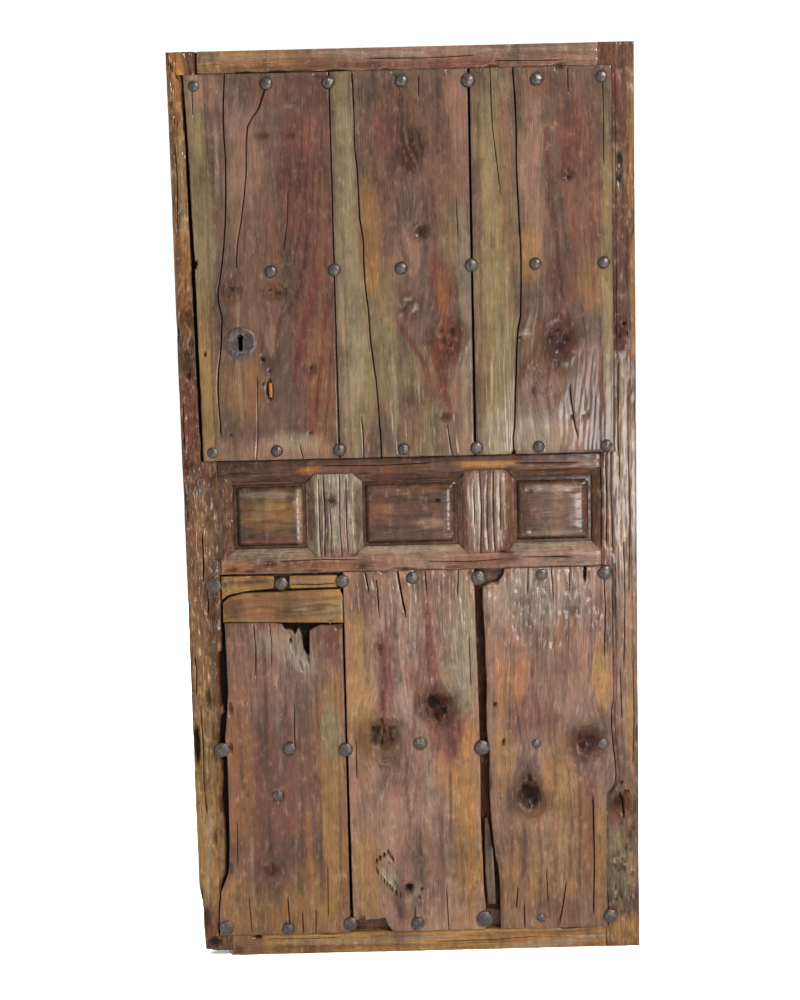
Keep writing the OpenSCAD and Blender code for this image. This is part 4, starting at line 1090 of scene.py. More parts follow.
def upper_mid_rail():
    mitres = mitred(UPPER_FLAT_Z, BAND_TOP_Z, -1)
    t = rail_front("upper_mid_rail_wood", uprights(*rail_columns()),
                   [mitres, *levels(UPPER_FLAT_Z, UPPER_BOARDS_Z)], 13, "brown")
    t.wear(dry=0.15)
    # the purple patch on the downward chamfer over the centre panel is painted shade
    t.add("patch", (-300, 1080, 100, 16, "brown", 0.5), (160, 1080, 70, 10, "ochre", 0.45),
        (-211, 1075, 34, 8, "orange", 0.6), (330, 1082, 80, 14, "brown", 0.4),
        (0, 1056, 100, 10, "purple", 0.4), (-160, 1073, 40, 8, "pinkish", 0.5),
        (60, 1074, 60, 7, "pinkish", 0.4))
    # the burnt streak along the top of the rail is a painted shadow cast by the boards' lower ends
    t.add("streak", ([(110, 1080), (165, 1078), (220, 1081)], 5, "orange", 0.5),
        ([(-400, 1090), (0, 1092), (400, 1090)], 7, "burnt", 0.65))
    t.add("split", ([(-180, 1083), (-60, 1081), (40, 1084)], 1.1, 5), ([(230, 1079), (350, 1077)], 1.2, 5))
    t.add("dent", (-362, 1071, 34, 5, 4, 0.6), (-300, 1050, 40, 4, 2, 0.3), (40, 1066, 26, 4, 3, 0.4),
        (300, 1060, 40, 5, 2.4, 0.35), (-100, 1064, 20, 5, 3, 0.5), (212, 1068, 12, 6, 3, 0.5))
    return t


def lower_mid_rail():
    mitres = mitred(LOWER_FLAT_Z, BAND_Z, 1)
    t = rail_front("lower_mid_rail_wood", uprights(*rail_columns()),
                   [*levels(LOWER_BOARDS_Z, LOWER_FLAT_Z), mitres], 17, "mauve")
    # the pale patches on the upward chamfer above the three panels are painted highlight
    t.add("patch", (-240, 866, 170, 14, "reddish", 0.45), (-372, 869, 38, 9, "orange", 0.8),
        (-115, 864, 22, 9, "burnt", 0.6), (150, 868, 80, 12, "reddish", 0.35),
        (208, 880, 18, 12, "reddish", 0.6), (0, 896, 100, 9, "pale", 0.5), (300, 896, 90, 9, "pale", 0.5),
        (-300, 896, 80, 9, "pale", 0.4), (330, 866, 70, 12, "brown", 0.4))
    t.streak([(-300, 866), (-200, 862), (-120, 866)], 4, "ochre", 0.4)
    t.knot(-307, 875, 11, 6, "burnt", 0.6, 1.5)
    t.add("split", ([(-280, 879), (-190, 881), (-110, 878)], 1.4, 6),
        ([(40, 871), (130, 869), (190, 872)], 1.1, 5), ([(240, 876), (340, 874)], 1.0, 5))
    t.add("dent", (-385, 862, 20, 5, 4, 0.6), (-350, 858, 18, 5, 4, 0.6), (-220, 857, 26, 4, 3, 0.5),
        (-20, 856, 30, 4, 3.5, 0.6), (90, 857, 30, 4, 3, 0.5), (-60, 888, 30, 4, 2, 0.3))
    return t


def muntin(name, x, seed, base):
    a, b = x - MUNTIN_HALF, x + MUNTIN_HALF
    low = [(a, BAND_Z), (a + CHAMFER_W, LOWER_FLAT_Z), (b - CHAMFER_W, LOWER_FLAT_Z), (b, BAND_Z)]
    high = [(a, BAND_TOP_Z), (a + CHAMFER_W, UPPER_FLAT_Z), (b - CHAMFER_W, UPPER_FLAT_Z), (b, BAND_TOP_Z)]
    return Timber(name, uprights(a, a + CHAMFER_W, b - CHAMFER_W, b), [low, high], rail_face, REBATE_Y + 0.5,
                  seed=seed, base=base)


def left_muntin():
    t = muntin("left_muntin_wood", -MUNTIN_X, 19, "pale")
    t.wear(gnarl=0.5, relief=1.6, dry=0.7)
    t.add("patch", (-163, 980, 60, 100, "silver", 0.35), (-186, 960, 10, 90, "brown", 0.4),
        (-140, 950, 8, 90, "mauve", 0.5), (-213, 975, 10, 90, "brown", 0.6),
        (-113, 975, 10, 90, "brown", 0.7), (-163, 895, 40, 14, "reddish", 0.4))
    t.knot(-167, 1008, 12, 10, "burnt", 0.85, 3.5)
    t.add("split", ([(-185, 1062), (-183, 980), (-186, 888)], 1.7, 6),
        ([(-150, 1062), (-152, 960), (-149, 888)], 1.5, 5),
        ([(-172, 990), (-171, 940), (-173, 890)], 1.3, 5),
        ([(-137, 1050), (-138, 950), (-136, 895)], 1.5, 5),
        ([(-195, 1055), (-196, 960), (-194, 892)], 1.2, 4))
    t.add("streak", ([(-160, 1060), (-161, 900)], 4, "pale", 0.6),
        ([(-178, 1000), (-178, 890)], 3, "burnt", 0.5))
    t.add("dent", (-125, 888, 9, 5, 4, 0.5), (-200, 1061, 9, 5, 4, 0.5))
    return t


def right_muntin():
    t = muntin("right_muntin_wood", MUNTIN_X, 23, "pinkish")
    t.wear(gnarl=0.3, relief=1.1, dry=0.6)
    t.add("patch", (163, 980, 60, 100, "mauve", 0.45), (140, 985, 12, 90, "pale", 0.4),
        (188, 985, 9, 80, "pale", 0.35), (113, 975, 10, 90, "brown", 0.6), (213, 975, 10, 90, "brown", 0.7),
        (204, 890, 16, 20, "reddish", 0.7))
    t.add("split", ([(150, 1063), (152, 980), (149, 888)], 1.4, 5),
        ([(179, 1063), (177, 970), (180, 888)], 1.2, 5), ([(165, 1040), (164, 960), (166, 900)], 0.9, 4),
        ([(136, 1030), (137, 950)], 0.9, 4), ([(193, 1050), (192, 940)], 1.2, 4))
    t.streak([(158, 1060), (157, 890)], 3, "burnt", 0.4)
    t.add("dent", (128, 1062, 8, 5, 4, 0.5), (196, 888, 9, 5, 4, 0.6))
    return t


def panel(name, opening, seed, base):
    """A fielded panel, its edge hidden in the grooves."""
    margin, bevel, rise, edge_t = 6, 19, 12, 10
    edge_y = REBATE_Y + 3
    x0, x1 = opening[0] + margin, opening[1] - margin
    z0, z1 = BAND_Z + margin, BAND_TOP_Z - margin

    def face(x, z):
        inside = np.minimum(np.minimum(x - x0, x1 - x), np.minimum(z - z0, z1 - z))
        inside = inside + 0.8 * rough(x / 15, z / 15, seed, 2) * np.clip(inside / 6, 0, 1)
        slope = 1 - (1 - np.clip(inside / bevel, 0, 1)) ** 3
        dish = 0.08 * fade(inside, bevel * 1.7, bevel * 0.5) * fade(inside, 0, bevel)
        return edge_y - rise * (slope - dish)

    left, right = opening
    columns = [left - TONGUE, left, x0, x0 + bevel, x1 - bevel, x1, right, right + TONGUE]
    rows = [BAND_Z - TONGUE, BAND_Z, z0, z0 + bevel, z1 - bevel, z1, BAND_TOP_Z, BAND_TOP_Z + TONGUE]
    t = Timber(name, uprights(*columns), levels(*rows), face, edge_y + edge_t, "x", seed, base)
    t.wear(dry=0.1, relief=0.8, base=t.base * 0.42 + tone("mauve") * 0.12)
    middle = (opening[0] + opening[1]) / 2
    # painted highlight: lighter bands on the bottom and top bevels of the field
    for z in (z0 + 9, z1 - 9):
        t.patch(middle, z, 80, 6, "pinkish", 0.12)
    # painted shade and dirt: a dark line round the panel where it meets the frame
    for x in (opening[0] + 2, opening[1] - 2):
        t.patch(x, 975, 7, 78, "burnt", 0.3)
    for z in (BAND_Z + 2, BAND_TOP_Z - 2):
        t.patch(middle, z, 116, 6, "burnt", 0.3)
    return t


def left_panel():
    t = panel("left_panel_wood", OPENINGS[0], 29, "brown")
    # the pale and mauve patches on the right bevel and the pale one on the top bevel are painted highlight
    t.add("patch", (-300, 975, 60, 50, "ochre", 0.35), (-318, 990, 30, 16, "olive", 0.4, 30),
        (-240, 975, 8, 60, "pale", 0.6), (-240, 975, 7, 55, "mauve", 0.5),
        (-300, 1022, 60, 7, "pale", 0.25), (-300, 925, 60, 7, "reddish", 0.5))
    t.add("streak", ([(-350, 960), (-300, 966), (-255, 958)], 4, "burnt", 0.45),
        ([(-350, 990), (-290, 984), (-250, 992)], 4, "burnt", 0.3))
    t.add("dent", (-262, 1018, 8, 6, 2, 0.4), (-345, 935, 9, 7, 2, 0.4))
    return t


def centre_panel():
    t = panel("centre_panel_wood", OPENINGS[1], 31, "brown")
    # the pinkish band on the top bevel is painted highlight
    t.add("patch", (0, 975, 80, 44, "pinkish", 0.12), (42, 953, 30, 13, "mauve", 0.7),
        (0, 1023, 78, 7, "pinkish", 0.5), (-60, 985, 26, 20, "orange", 0.05),
        (0, 925, 76, 6, "purple", 0.4))
    t.add("streak", ([(-70, 1000), (0, 1006), (60, 1001)], 4, "burnt", 0.5),
        ([(-74, 975), (0, 968), (66, 976)], 4, "burnt", 0.45),
        ([(-74, 950), (-10, 944), (30, 948)], 4, "burnt", 0.35))
    t.add("dent", (59, 1002, 4, 4, 7, 1.0, 0, 0.1), (-86, 1020, 7, 6, 2, 0.5), (80, 930, 8, 6, 2, 0.4),
        (-30, 1012, 16, 3, 1.6, 0.4))
    return t


def right_panel():
    t = panel("right_panel_wood", OPENINGS[2], 37, "brown")
    # the pale band on the top bevel and the mauve ones on the right edge and bottom bevel are painted
    # highlight
    t.add("patch", (306, 975, 56, 44, "brown", 0.55), (306, 975, 40, 30, "pinkish", 0.2),
        (306, 1022, 58, 8, "pale", 0.4), (358, 975, 7, 50, "mauve", 0.4), (306, 926, 58, 6, "mauve", 0.35))
    t.add("streak", ([(262, 990), (306, 996), (350, 988)], 4, "burnt", 0.35),
        ([(262, 962), (310, 956), (348, 964)], 4, "burnt", 0.4))
    t.add("dent", (258, 1018, 7, 6, 2, 0.5), (352, 1016, 8, 5, 2, 0.4), (262, 930, 8, 6, 2, 0.5))
    return t

# ---------------------------------------------------------------- boards

def upper_board(name, left, right, seed, tongue=True):
    """A board above the panels, with a tongue behind its left neighbour where it has one."""
    rows = levels(UPPER_BOARDS_Z + 1, TOP_SHOW_Z - 1)
    if tongue:
        lap_y = REBATE_Y - 9.7

        def face(x, z):
            return np.where(x < line_at(left, z), lap_y, UPPER_FACE_Y)

        t = Timber(name, [shifted(left, -7), shifted(left, -0.15), shifted(left, 0.1), right], rows, face,
                   REBATE_Y, seed=seed)
        t.wear(floor_below=lap_y - 0.5, steps=[(left, 1)])
    else:
        t = Timber(name, [left, right], rows, UPPER_FACE_Y, REBATE_Y, seed=seed)
    return t.wear(dry=0.12, gnarl=0.15, base=tone("mauve") * 0.44)


def upper_left_board():
    left = [(-450, 1901), (-446, 1799), (-440, 1519), (-438, 1099)]
    t = upper_board("upper_left_board_wood", left, [(-149.4, 1500)], 41, tongue=False)
    t.add("patch", (-424, 1500, 26, 460, "olive", 0.55), (-424, 1250, 24, 190, "ochre", 0.3),
        (-190, 1640, 60, 290, "reddish", 0.16), (-225, 1700, 40, 170, "reddish", 0.12),
        (-190, 1300, 50, 190, "reddish", 0.3), (-180, 1250, 34, 160, "ochre", 0.1),
        (-330, 1700, 40, 200, "mauve", 0.35), (-300, 1550, 44, 120, "pinkish", 0.4),
        (-345, 1300, 50, 170, "pinkish", 0.3), (-345, 1240, 44, 90, "ochre", 0.06),
        (-290, 1325, 20, 62, "purple", 0.65), (-285, 1350, 14, 40, "mauve", 0.5),
        (-300, 1120, 150, 28, "mauve", 0.7), (-240, 1135, 60, 26, "pale", 0.35),
        (-200, 1860, 50, 44, "purple", 0.35), (-400, 1860, 44, 44, "mauve", 0.4),
        (-262, 1860, 60, 26, "pinkish", 0.4), (-168, 1500, 14, 320, "pinkish", 0.2))
    for x0, x1 in ((-190, -236), (-176, -214), (-205, -250), (-164, -192)):
        t.streak([(x0, 1800), (x0 - 8, 1700), ((x0 + x1) / 2, 1600), (x1, 1500)], 3, "burnt", 0.4)
    t.add("streak",
        ([(-208, 1520), (-221, 1470), (-238, 1424), (-264, 1398), (-271, 1375), (-275, 1305)],
          5, "burnt", 0.6), ([(-188, 1490), (-205, 1420), (-228, 1330), (-240, 1250)], 5, "reddish", 0.65),
        ([(-166, 1440), (-176, 1340), (-190, 1240), (-204, 1150)], 5, "reddish", 0.6),
        ([(-200, 1500), (-214, 1430), (-236, 1350), (-246, 1300)], 4, "pinkish", 0.5),
        ([(-178, 1450), (-188, 1350), (-206, 1250), (-222, 1180)], 4, "pinkish", 0.6),
        ([(-160, 1330), (-168, 1230), (-178, 1150)], 3, "burnt", 0.4),
        ([(-250, 1830), (-232, 1832), (-215, 1830)], 3, "pale", 0.4),
        ([(-405, 1880), (-410, 1600), (-412, 1300), (-410, 1110)], 3, "burnt", 0.3),
        ([(-385, 1800), (-388, 1650)], 4, "pale", 0.4),
        ([(-352, 1450), (-356, 1300), (-352, 1180)], 4, "pale", 0.3))
    t.add("split",
        ([(-364, 1900), (-368, 1850), (-370, 1800), (-368, 1725), (-370, 1650), (-373, 1600), (-378, 1550),
          (-385, 1500), (-394, 1454), (-393, 1431), (-387, 1404), (-390, 1355), (-394, 1322), (-399, 1289),
          (-401, 1262), (-401.5, 1230), (-400, 1203), (-399, 1157)], 2.3, 12),
        ([(-281, 1872), (-289, 1850), (-296, 1830), (-310, 1812), (-320, 1795), (-324, 1760), (-326, 1700),
          (-332, 1650), (-340, 1600), (-350, 1550), (-353, 1510)], 1.7, 9),
        ([(-317, 1272), (-319, 1203), (-320, 1157), (-325, 1101)], 1.1, 6, 0.8),
        ([(-231, 1127), (-226, 1100)], 1.6, 7), ([(-432, 1865), (-432, 1825)], 1.2, 6),
        ([(-240, 1660), (-243, 1600), (-252, 1540)], 0.9, 5, 0.7))
    t.scar([(-250, 1828), (-232, 1833), (-215, 1830), (-190, 1815)], 1.6, 3, 0.6)
    t.add("knot", (-290, 1775, 13, 7, "burnt", 0.55, 1.6), (-230, 1772, 8, 6, "burnt", 0.5, 1.2),
        (-365, 1456, 18, 20, "purple", 0.55, 2.6), (-274, 1454, 22, 15, "purple", 0.6, 2.6),
        (-203, 1289, 12, 11, "purple", 0.6, 2.2))
    t.add("dent", (-365, 1462, 7, 9, 3, 0.75), (-372, 1446, 5, 7, 3, 0.7), (-268, 1450, 8, 5, 3, 0.7),
        (-284, 1460, 5, 4, 3, 0.7), (-203, 1292, 5, 5, 3, 0.7), (-197, 1283, 4, 3, 2, 0.6))
    t.add("patch", (-262, 1458, 7, 6, "pale", 0.6), (-356, 1452, 4, 9, "pale", 0.45),
        (-208, 1284, 5, 4, "pale", 0.55))
    t.add("dent", (-209, 1154, 7, 5, 3, 0.8), (-378, 1154, 6, 3, 3, 0.8, 30),
        (-426, 1324, 3.4, 3.4, 10, 1, 0, 0.1), (-305, 1313, 4.5, 6, 7, 0.95), (-305, 1262, 3, 4, 5, 0.9),
        (-292, 1247, 8, 22, 18, 1.0, 0, 0.1), (-291, 1284, 4, 5, 6, 0.9),
        (KEY_X, PLATE_Z, 14, 20, 21, 1.0, 0, 0.05), (-443, 1515, 8.5, 9, 24, 1.0, 0, 0.12),
        (-170, 1893, 16, 5, 4, 0.5), (-446, 1700, 3, 18, 4, 0.5), (-440, 1240, 3, 20, 4, 0.5))
    return t


def upper_centre_board():
    left = [(-146.7, 1500)]
    t = upper_board("upper_centre_board_wood", left, [(138.4, 1500)], 43)
    t.base = t.base * 1.07
    t.add("patch", (-122, 1650, 24, 330, "olive", 0.75), (-105, 1300, 40, 230, "olive", 0.72),
        (-115, 1450, 26, 420, "pale", 0.14), (-70, 1560, 26, 150, "ochre", 0.25),
        (-70, 1480, 22, 60, "orange", 0.08), (-40, 1700, 30, 150, "pinkish", 0.5),
        (90, 1700, 44, 200, "pinkish", 0.55), (100, 1560, 34, 90, "olive", 0.25),
        (75, 1458, 26, 60, "reddish", 0.35), (78, 1450, 16, 50, "orange", 0.12),
        (8, 1418, 30, 34, "purple", 0.65), (0, 1530, 30, 60, "mauve", 0.5),
        (-40, 1350, 26, 160, "olive", 0.4), (20, 1200, 70, 130, "olive", 0.45),
        (110, 1180, 30, 110, "mauve", 0.45), (84, 1340, 40, 50, "reddish", 0.6),
        (60, 1260, 30, 60, "reddish", 0.3), (10, 1180, 30, 80, "pinkish", 0.5),
        (115, 1820, 26, 90, "mauve", 0.4), (-5, 1810, 60, 90, "reddish", 0.1),
        (125, 1400, 14, 240, "pale", 0.3), (-10, 1760, 50, 60, "purple", 0.3),
        (20, 1740, 27, 52, "burnt", 0.62, -14), (0, 1800, 9, 60, "burnt", 0.5),
        (-12, 1720, 20, 60, "purple", 0.5))
    t.add("streak", ([(6, 1780), (14, 1740), (32, 1705)], 3, "pale", 0.5),
        ([(28, 1770), (36, 1730)], 3, "pale", 0.4),
        ([(-20, 1390), (10, 1340), (34, 1300), (50, 1262)], 6, "reddish", 0.6),
        ([(72, 1297), (78, 1240), (90, 1190)], 7, "reddish", 0.65),
        ([(64, 1500), (66, 1400)], 4, "burnt", 0.35),
        ([(-12, 1640), (-8, 1560), (2, 1480)], 4, "burnt", 0.4),
        ([(40, 1660), (48, 1600), (44, 1520)], 4, "burnt", 0.3),
        ([(60, 1680), (66, 1560), (58, 1490)], 3, "reddish", 0.4),
        ([(-30, 1300), (-26, 1200), (-30, 1110)], 4, "pale", 0.35),
        ([(10, 1290), (14, 1200), (8, 1110)], 3, "burnt", 0.3),
        ([(120, 1290), (118, 1120)], 4, "pale", 0.4),
        ([(-128, 1600), (-126, 1300), (-124, 1110)], 3, "burnt", 0.3))
    t.add("split",
        ([(-100, 1900), (-98, 1800), (-99, 1750), (-94, 1700), (-93, 1650), (-92, 1600), (-85, 1550),
          (-86, 1520), (-85, 1477), (-82.5, 1444), (-78.5, 1411), (-77.5, 1378), (-76, 1348), (-71.6, 1305),
          (-66.6, 1266), (-64, 1230), (-62, 1190), (-60, 1147), (-58.7, 1098)], 2.2, 12),
        ([(-99, 1180), (-97, 1157), (-96.7, 1098)], 1.8, 8), ([(83, 1160), (87, 1130), (92, 1098)], 1.5, 7),
        ([(38, 1890), (37, 1850)], 1.0, 5), ([(110, 1640), (113, 1560)], 0.9, 4, 0.7))
    t.add("knot", (35, 1570, 17, 15, "burnt", 0.7, 2.5), (90, 1352, 34, 32, "brown", 0.5, 2.2),
        (78, 1182, 13, 8, "burnt", 0.7, 2), (20, 1738, 20, 40, "burnt", 0.5, 1.5))
    t.add("dent", (98, 1362, 9, 7, 3.5, 0.75), (80, 1342, 8, 6, 3, 0.7), (92, 1330, 6, 5, 3, 0.7),
        (76, 1365, 5, 4, 3, 0.6))
    t.add("patch", (88, 1352, 5, 4, "pale", 0.6), (104, 1346, 4, 5, "pale", 0.5),
        (70, 1352, 4, 6, "pale", 0.4))
    t.add("dent", (10, 1424, 10, 6, 2.6, 0.6), (-4, 1410, 8, 7, 2.4, 0.6), (20, 1402, 8, 5, 2.2, 0.55))
    t.add("patch", (4, 1432, 8, 4, "pale", 0.5), (22, 1414, 5, 5, "pale", 0.4),
        (-10, 1396, 6, 4, "pale", 0.4))
    t.add("dent", (32, 1572, 6, 5, 3, 0.7), (-12, 1895, 10, 4, 4, 0.5), (100, 1896, 12, 4, 3, 0.4),
        (-40, 1560, 3, 10, 1.5, 0.5), (50, 1640, 3, 8, 1.5, 0.5), (-20, 1600, 2.5, 9, 1.5, 0.5))
    return t


def upper_right_board():
    left = [(143.6, 1500)]
    t = upper_board("upper_right_board_wood", left, [(437, 1500)], 47)
    # near the foot of the board the silver, pale and mauve patches paint a broad glossy sheen (painted
    # highlight) over its colour
    t.add("patch", (188, 1500, 46, 430, "olive", 0.68), (165, 1250, 20, 180, "ochre", 0.06),
        (190, 1150, 40, 60, "pale", 0.35), (215, 1700, 18, 200, "pinkish", 0.4),
        (270, 1700, 30, 190, "mauve", 0.55), (330, 1460, 34, 74, "reddish", 0.35),
        (325, 1470, 26, 60, "burnt", 0.3), (325, 1345, 42, 56, "purple", 0.75),
        (287, 1240, 56, 66, "purple", 0.6), (287, 1235, 50, 56, "mauve", 0.5),
        (380, 1640, 50, 230, "pinkish", 0.55), (400, 1445, 34, 60, "ochre", 0.2),
        (300, 1185, 80, 90, "silver", 0.16), (400, 1250, 34, 110, "pinkish", 0.5),
        (270, 1330, 22, 60, "ochre", 0.06), (250, 1140, 90, 40, "pale", 0.3),
        (340, 1140, 60, 44, "mauve", 0.4), (270, 1520, 28, 60, "ochre", 0.25),
        (345, 1750, 26, 100, "reddish", 0.35), (425, 1500, 12, 400, "olive", 0.35),
        (300, 1860, 60, 30, "brown", 0.3))
    # the short pale streaks near the foot are part of that painted sheen
    t.add("streak", ([(300, 1780), (305, 1650), (318, 1540)], 5, "reddish", 0.5),
        ([(330, 1640), (336, 1560), (346, 1520)], 4, "burnt", 0.5),
        ([(316, 1600), (322, 1520), (330, 1420)], 4, "burnt", 0.5),
        ([(352, 1600), (360, 1500), (352, 1420)], 4, "reddish", 0.5),
        ([(285, 1430), (276, 1360), (262, 1290)], 5, "burnt", 0.4),
        ([(372, 1450), (374, 1350), (368, 1290)], 4, "burnt", 0.4),
        ([(300, 1290), (296, 1230), (302, 1170)], 3, "burnt", 0.45),
        ([(270, 1290), (268, 1210)], 3, "burnt", 0.4),
        ([(390, 1800), (394, 1600), (396, 1420)], 3, "reddish", 0.4),
        ([(410, 1400), (412, 1250), (408, 1110)], 3, "reddish", 0.35),
        ([(170, 1180), (172, 1110)], 4, "pale", 0.3), ([(204, 1190), (206, 1110)], 4, "pale", 0.3),
        ([(262, 1200), (264, 1110)], 4, "pale", 0.3), ([(290, 1180), (292, 1110)], 3, "pale", 0.3),
        ([(160, 1880), (160, 1600), (158, 1300)], 3, "burnt", 0.3),
        ([(214, 1500), (212, 1320)], 3, "pale", 0.4))
    t.add("split", ([(186, 1900), (187, 1830), (189, 1780), (203, 1650)], 1.0, 6, 0.8),
        ([(232, 1900), (236, 1850), (238, 1775), (237, 1700), (239, 1650), (241, 1600), (243, 1550),
          (244, 1520), (243.6, 1468), (242.6, 1424), (241.6, 1390), (236, 1365), (233, 1331), (232, 1307),
          (230, 1262), (228, 1228), (227, 1194), (225.5, 1160), (222, 1132), (223, 1098)], 2.4, 12),
        ([(346, 1895), (347, 1855)], 1.3, 6),
        ([(344, 1238), (346, 1211), (349, 1190), (352, 1163), (358, 1139)], 1.8, 8),
        ([(418, 1890), (420, 1800), (419, 1700)], 0.9, 4, 0.7))
    t.scar([(339, 1177), (359, 1170), (375, 1175)], 2, 6)
    t.add("knot", (344, 1680, 13, 11, "burnt", 0.65, 2), (325, 1345, 32, 40, "purple", 0.6, 3.4),
        (287, 1245, 40, 50, "purple", 0.3, 2.5, 0, 0.3))
    t.add("dent", (318, 1360, 9, 8, 4, 0.7), (338, 1340, 8, 9, 4, 0.7), (322, 1322, 8, 6, 3, 0.7),
        (304, 1345, 6, 9, 3, 0.6))
    t.add("patch", (351, 1369, 6, 4, "pale", 0.75), (354, 1314, 6, 4, "pale", 0.75),
        (316, 1376, 8, 3, "pale", 0.4), (251, 1352, 17, 7, "pale", 0.8))
    t.add("dent", (251, 1350, 17, 7, 1.8, 0.1), (240, 1346, 4, 5, 4, 0.8), (346, 1676, 5, 4, 3, 0.8),
        (380, 1180, 5, 6, 2, 0.6), (290, 1262, 14, 8, 2.4, 0.4), (312, 1220, 10, 12, 2.2, 0.4),
        (268, 1225, 9, 12, 2.2, 0.4), (222, 1100, 4, 6, 8, 0.95), (330, 1898, 14, 4, 4, 0.5),
        (200, 1898, 12, 4, 3, 0.5))
    for k in range(18):
        t.dent(255 + 75 * lattice(k, 2, 5), 1190 + 100 * lattice(k, 6, 3), 2.5 + 2 * lattice(k, 4, 1), 5,
               1.6, 0.45)
    return t


def lower_left_board():
    left = from_left((43, 48), (44, 100), (50, 150), (66, 188), (72, 250), (73, 350), (74, 440), (70, 490),
                     (77, 550), (81, 600), (79, 700), (78, 748))
    right = [(-153, 740), (-153, 600), (-153.3, 400), (-154, 48)]
    top = [(-410, 748), (-300, 746), (-284, 743), (-277, 731), (-264, 730), (-255, 720), (-250, 732),
           (-246, 732), (-241, 716), (-238.5, 688), (-233, 678), (-229, 672), (-226, 679), (-224, 727),
           (-212, 734), (-200, 739), (-180, 738), (-150, 740)]
    bend = [(x, 560 + (z - 560) * 0.25) for x, z in top]
    t = Timber("lower_left_board_wood",
               [left, *uprights(-284, -277, -255, -248, -241, -238.5, -229, -226, -223.5), right],
               [*levels(END_SHOW_Z + 1, 540), bend, top], LOWER_FACE_Y, REBATE_Y, seed=53)
    t.wear(gnarl=0.5, relief=1.25)
    t.add("patch", (-290, 640, 120, 130, "mauve", 0.4), (-300, 350, 130, 300, "brown", 0.25),
        (-330, 400, 50, 200, "reddish", 0.12), (-186, 560, 30, 60, "ochre", 0.5),
        (-184, 330, 28, 300, "ochre", 0.6), (-186, 500, 30, 66, "olive", 0.7),
        (-385, 430, 34, 200, "orange", 0.12), (-400, 120, 40, 90, "ochre", 0.3),
        (-350, 660, 50, 60, "pinkish", 0.45), (-270, 100, 110, 60, "ochre", 0.3),
        (-240, 140, 50, 80, "ochre", 0.25), (-176, 700, 20, 40, "reddish", 0.4),
        (-246, 672, 32, 32, "pale", 0.75, 25), (-228, 650, 14, 28, "pale", 0.6, 20),
        (-300, 700, 60, 30, "pale", 0.25))
    t.add("streak", ([(-325, 728), (-322, 600), (-326, 480)], 4, "burnt", 0.5),
        ([(-325, 315), (-322, 225)], 4, "burnt", 0.5),
        ([(-350, 500), (-345, 300), (-350, 150)], 5, "reddish", 0.25),
        ([(-280, 600), (-272, 420), (-280, 260)], 5, "reddish", 0.25),
        ([(-255, 600), (-250, 400), (-255, 200)], 4, "burnt", 0.3),
        ([(-382, 560), (-380, 380)], 4, "burnt", 0.35),
        ([(-215, 640), (-210, 400), (-214, 120)], 4, "brown", 0.5),
        ([(-300, 560), (-296, 420)], 4, "pale", 0.25),
        ([(-172, 620), (-168, 400), (-172, 120)], 3, "brown", 0.45),
        ([(-365, 260), (-368, 120)], 4, "pale", 0.25), ([(-240, 330), (-236, 150)], 5, "orange", 0.35))
    t.add("split", ([(-290, 130), (-288, 74)], 1.8, 8), ([(-259, 93), (-258, 50)], 1.8, 8),
        ([(-229, 97), (-230, 49)], 1.6, 8), ([(-344, 740), (-341, 690), (-343, 640)], 1.3, 7),
        ([(-310, 745), (-306, 700), (-308, 655)], 1.2, 6), ([(-262, 560), (-264, 480)], 1.0, 5),
        ([(-200, 200), (-202, 90)], 1.0, 5), ([(-395, 300), (-397, 210)], 1.0, 5),
        ([(-375, 130), (-372, 60)], 1.2, 6))
    t.knot(-323, 196, 13, 11, "burnt", 0.55, 2)
    t.add("dent", (-265, 709, 4, 5, 9, 0.95), (-304, 362, 17, 15, 3.2, 0.7, 0, 0.15))
    t.patch(-300, 377, 16, 4, "pale", 0.6, 10)
    t.add("dent", (-258, 690, 5, 14, 3, 0.4, 20), (-246, 655, 4, 16, 3, 0.5, 25),
        (-228, 668, 5, 16, 4, 0.6, 10), (-270, 660, 8, 8, 2.5, 0.4), (-160, 735, 8, 8, 4, 0.5),
        (-400, 560, 6, 18, 4, 0.6), (-404, 470, 6, 14, 4, 0.6), (-158, 420, 4, 20, 3, 0.4),
        (-414, 200, 8, 20, 4, 0.5), (-330, 740, 20, 5, 4, 0.5))
    for x, z in ((-275, 468), (-291, 60)):
        t.dent(x, z, 17, 17, 2.2, 0.45, 0, 0.15)
    return t


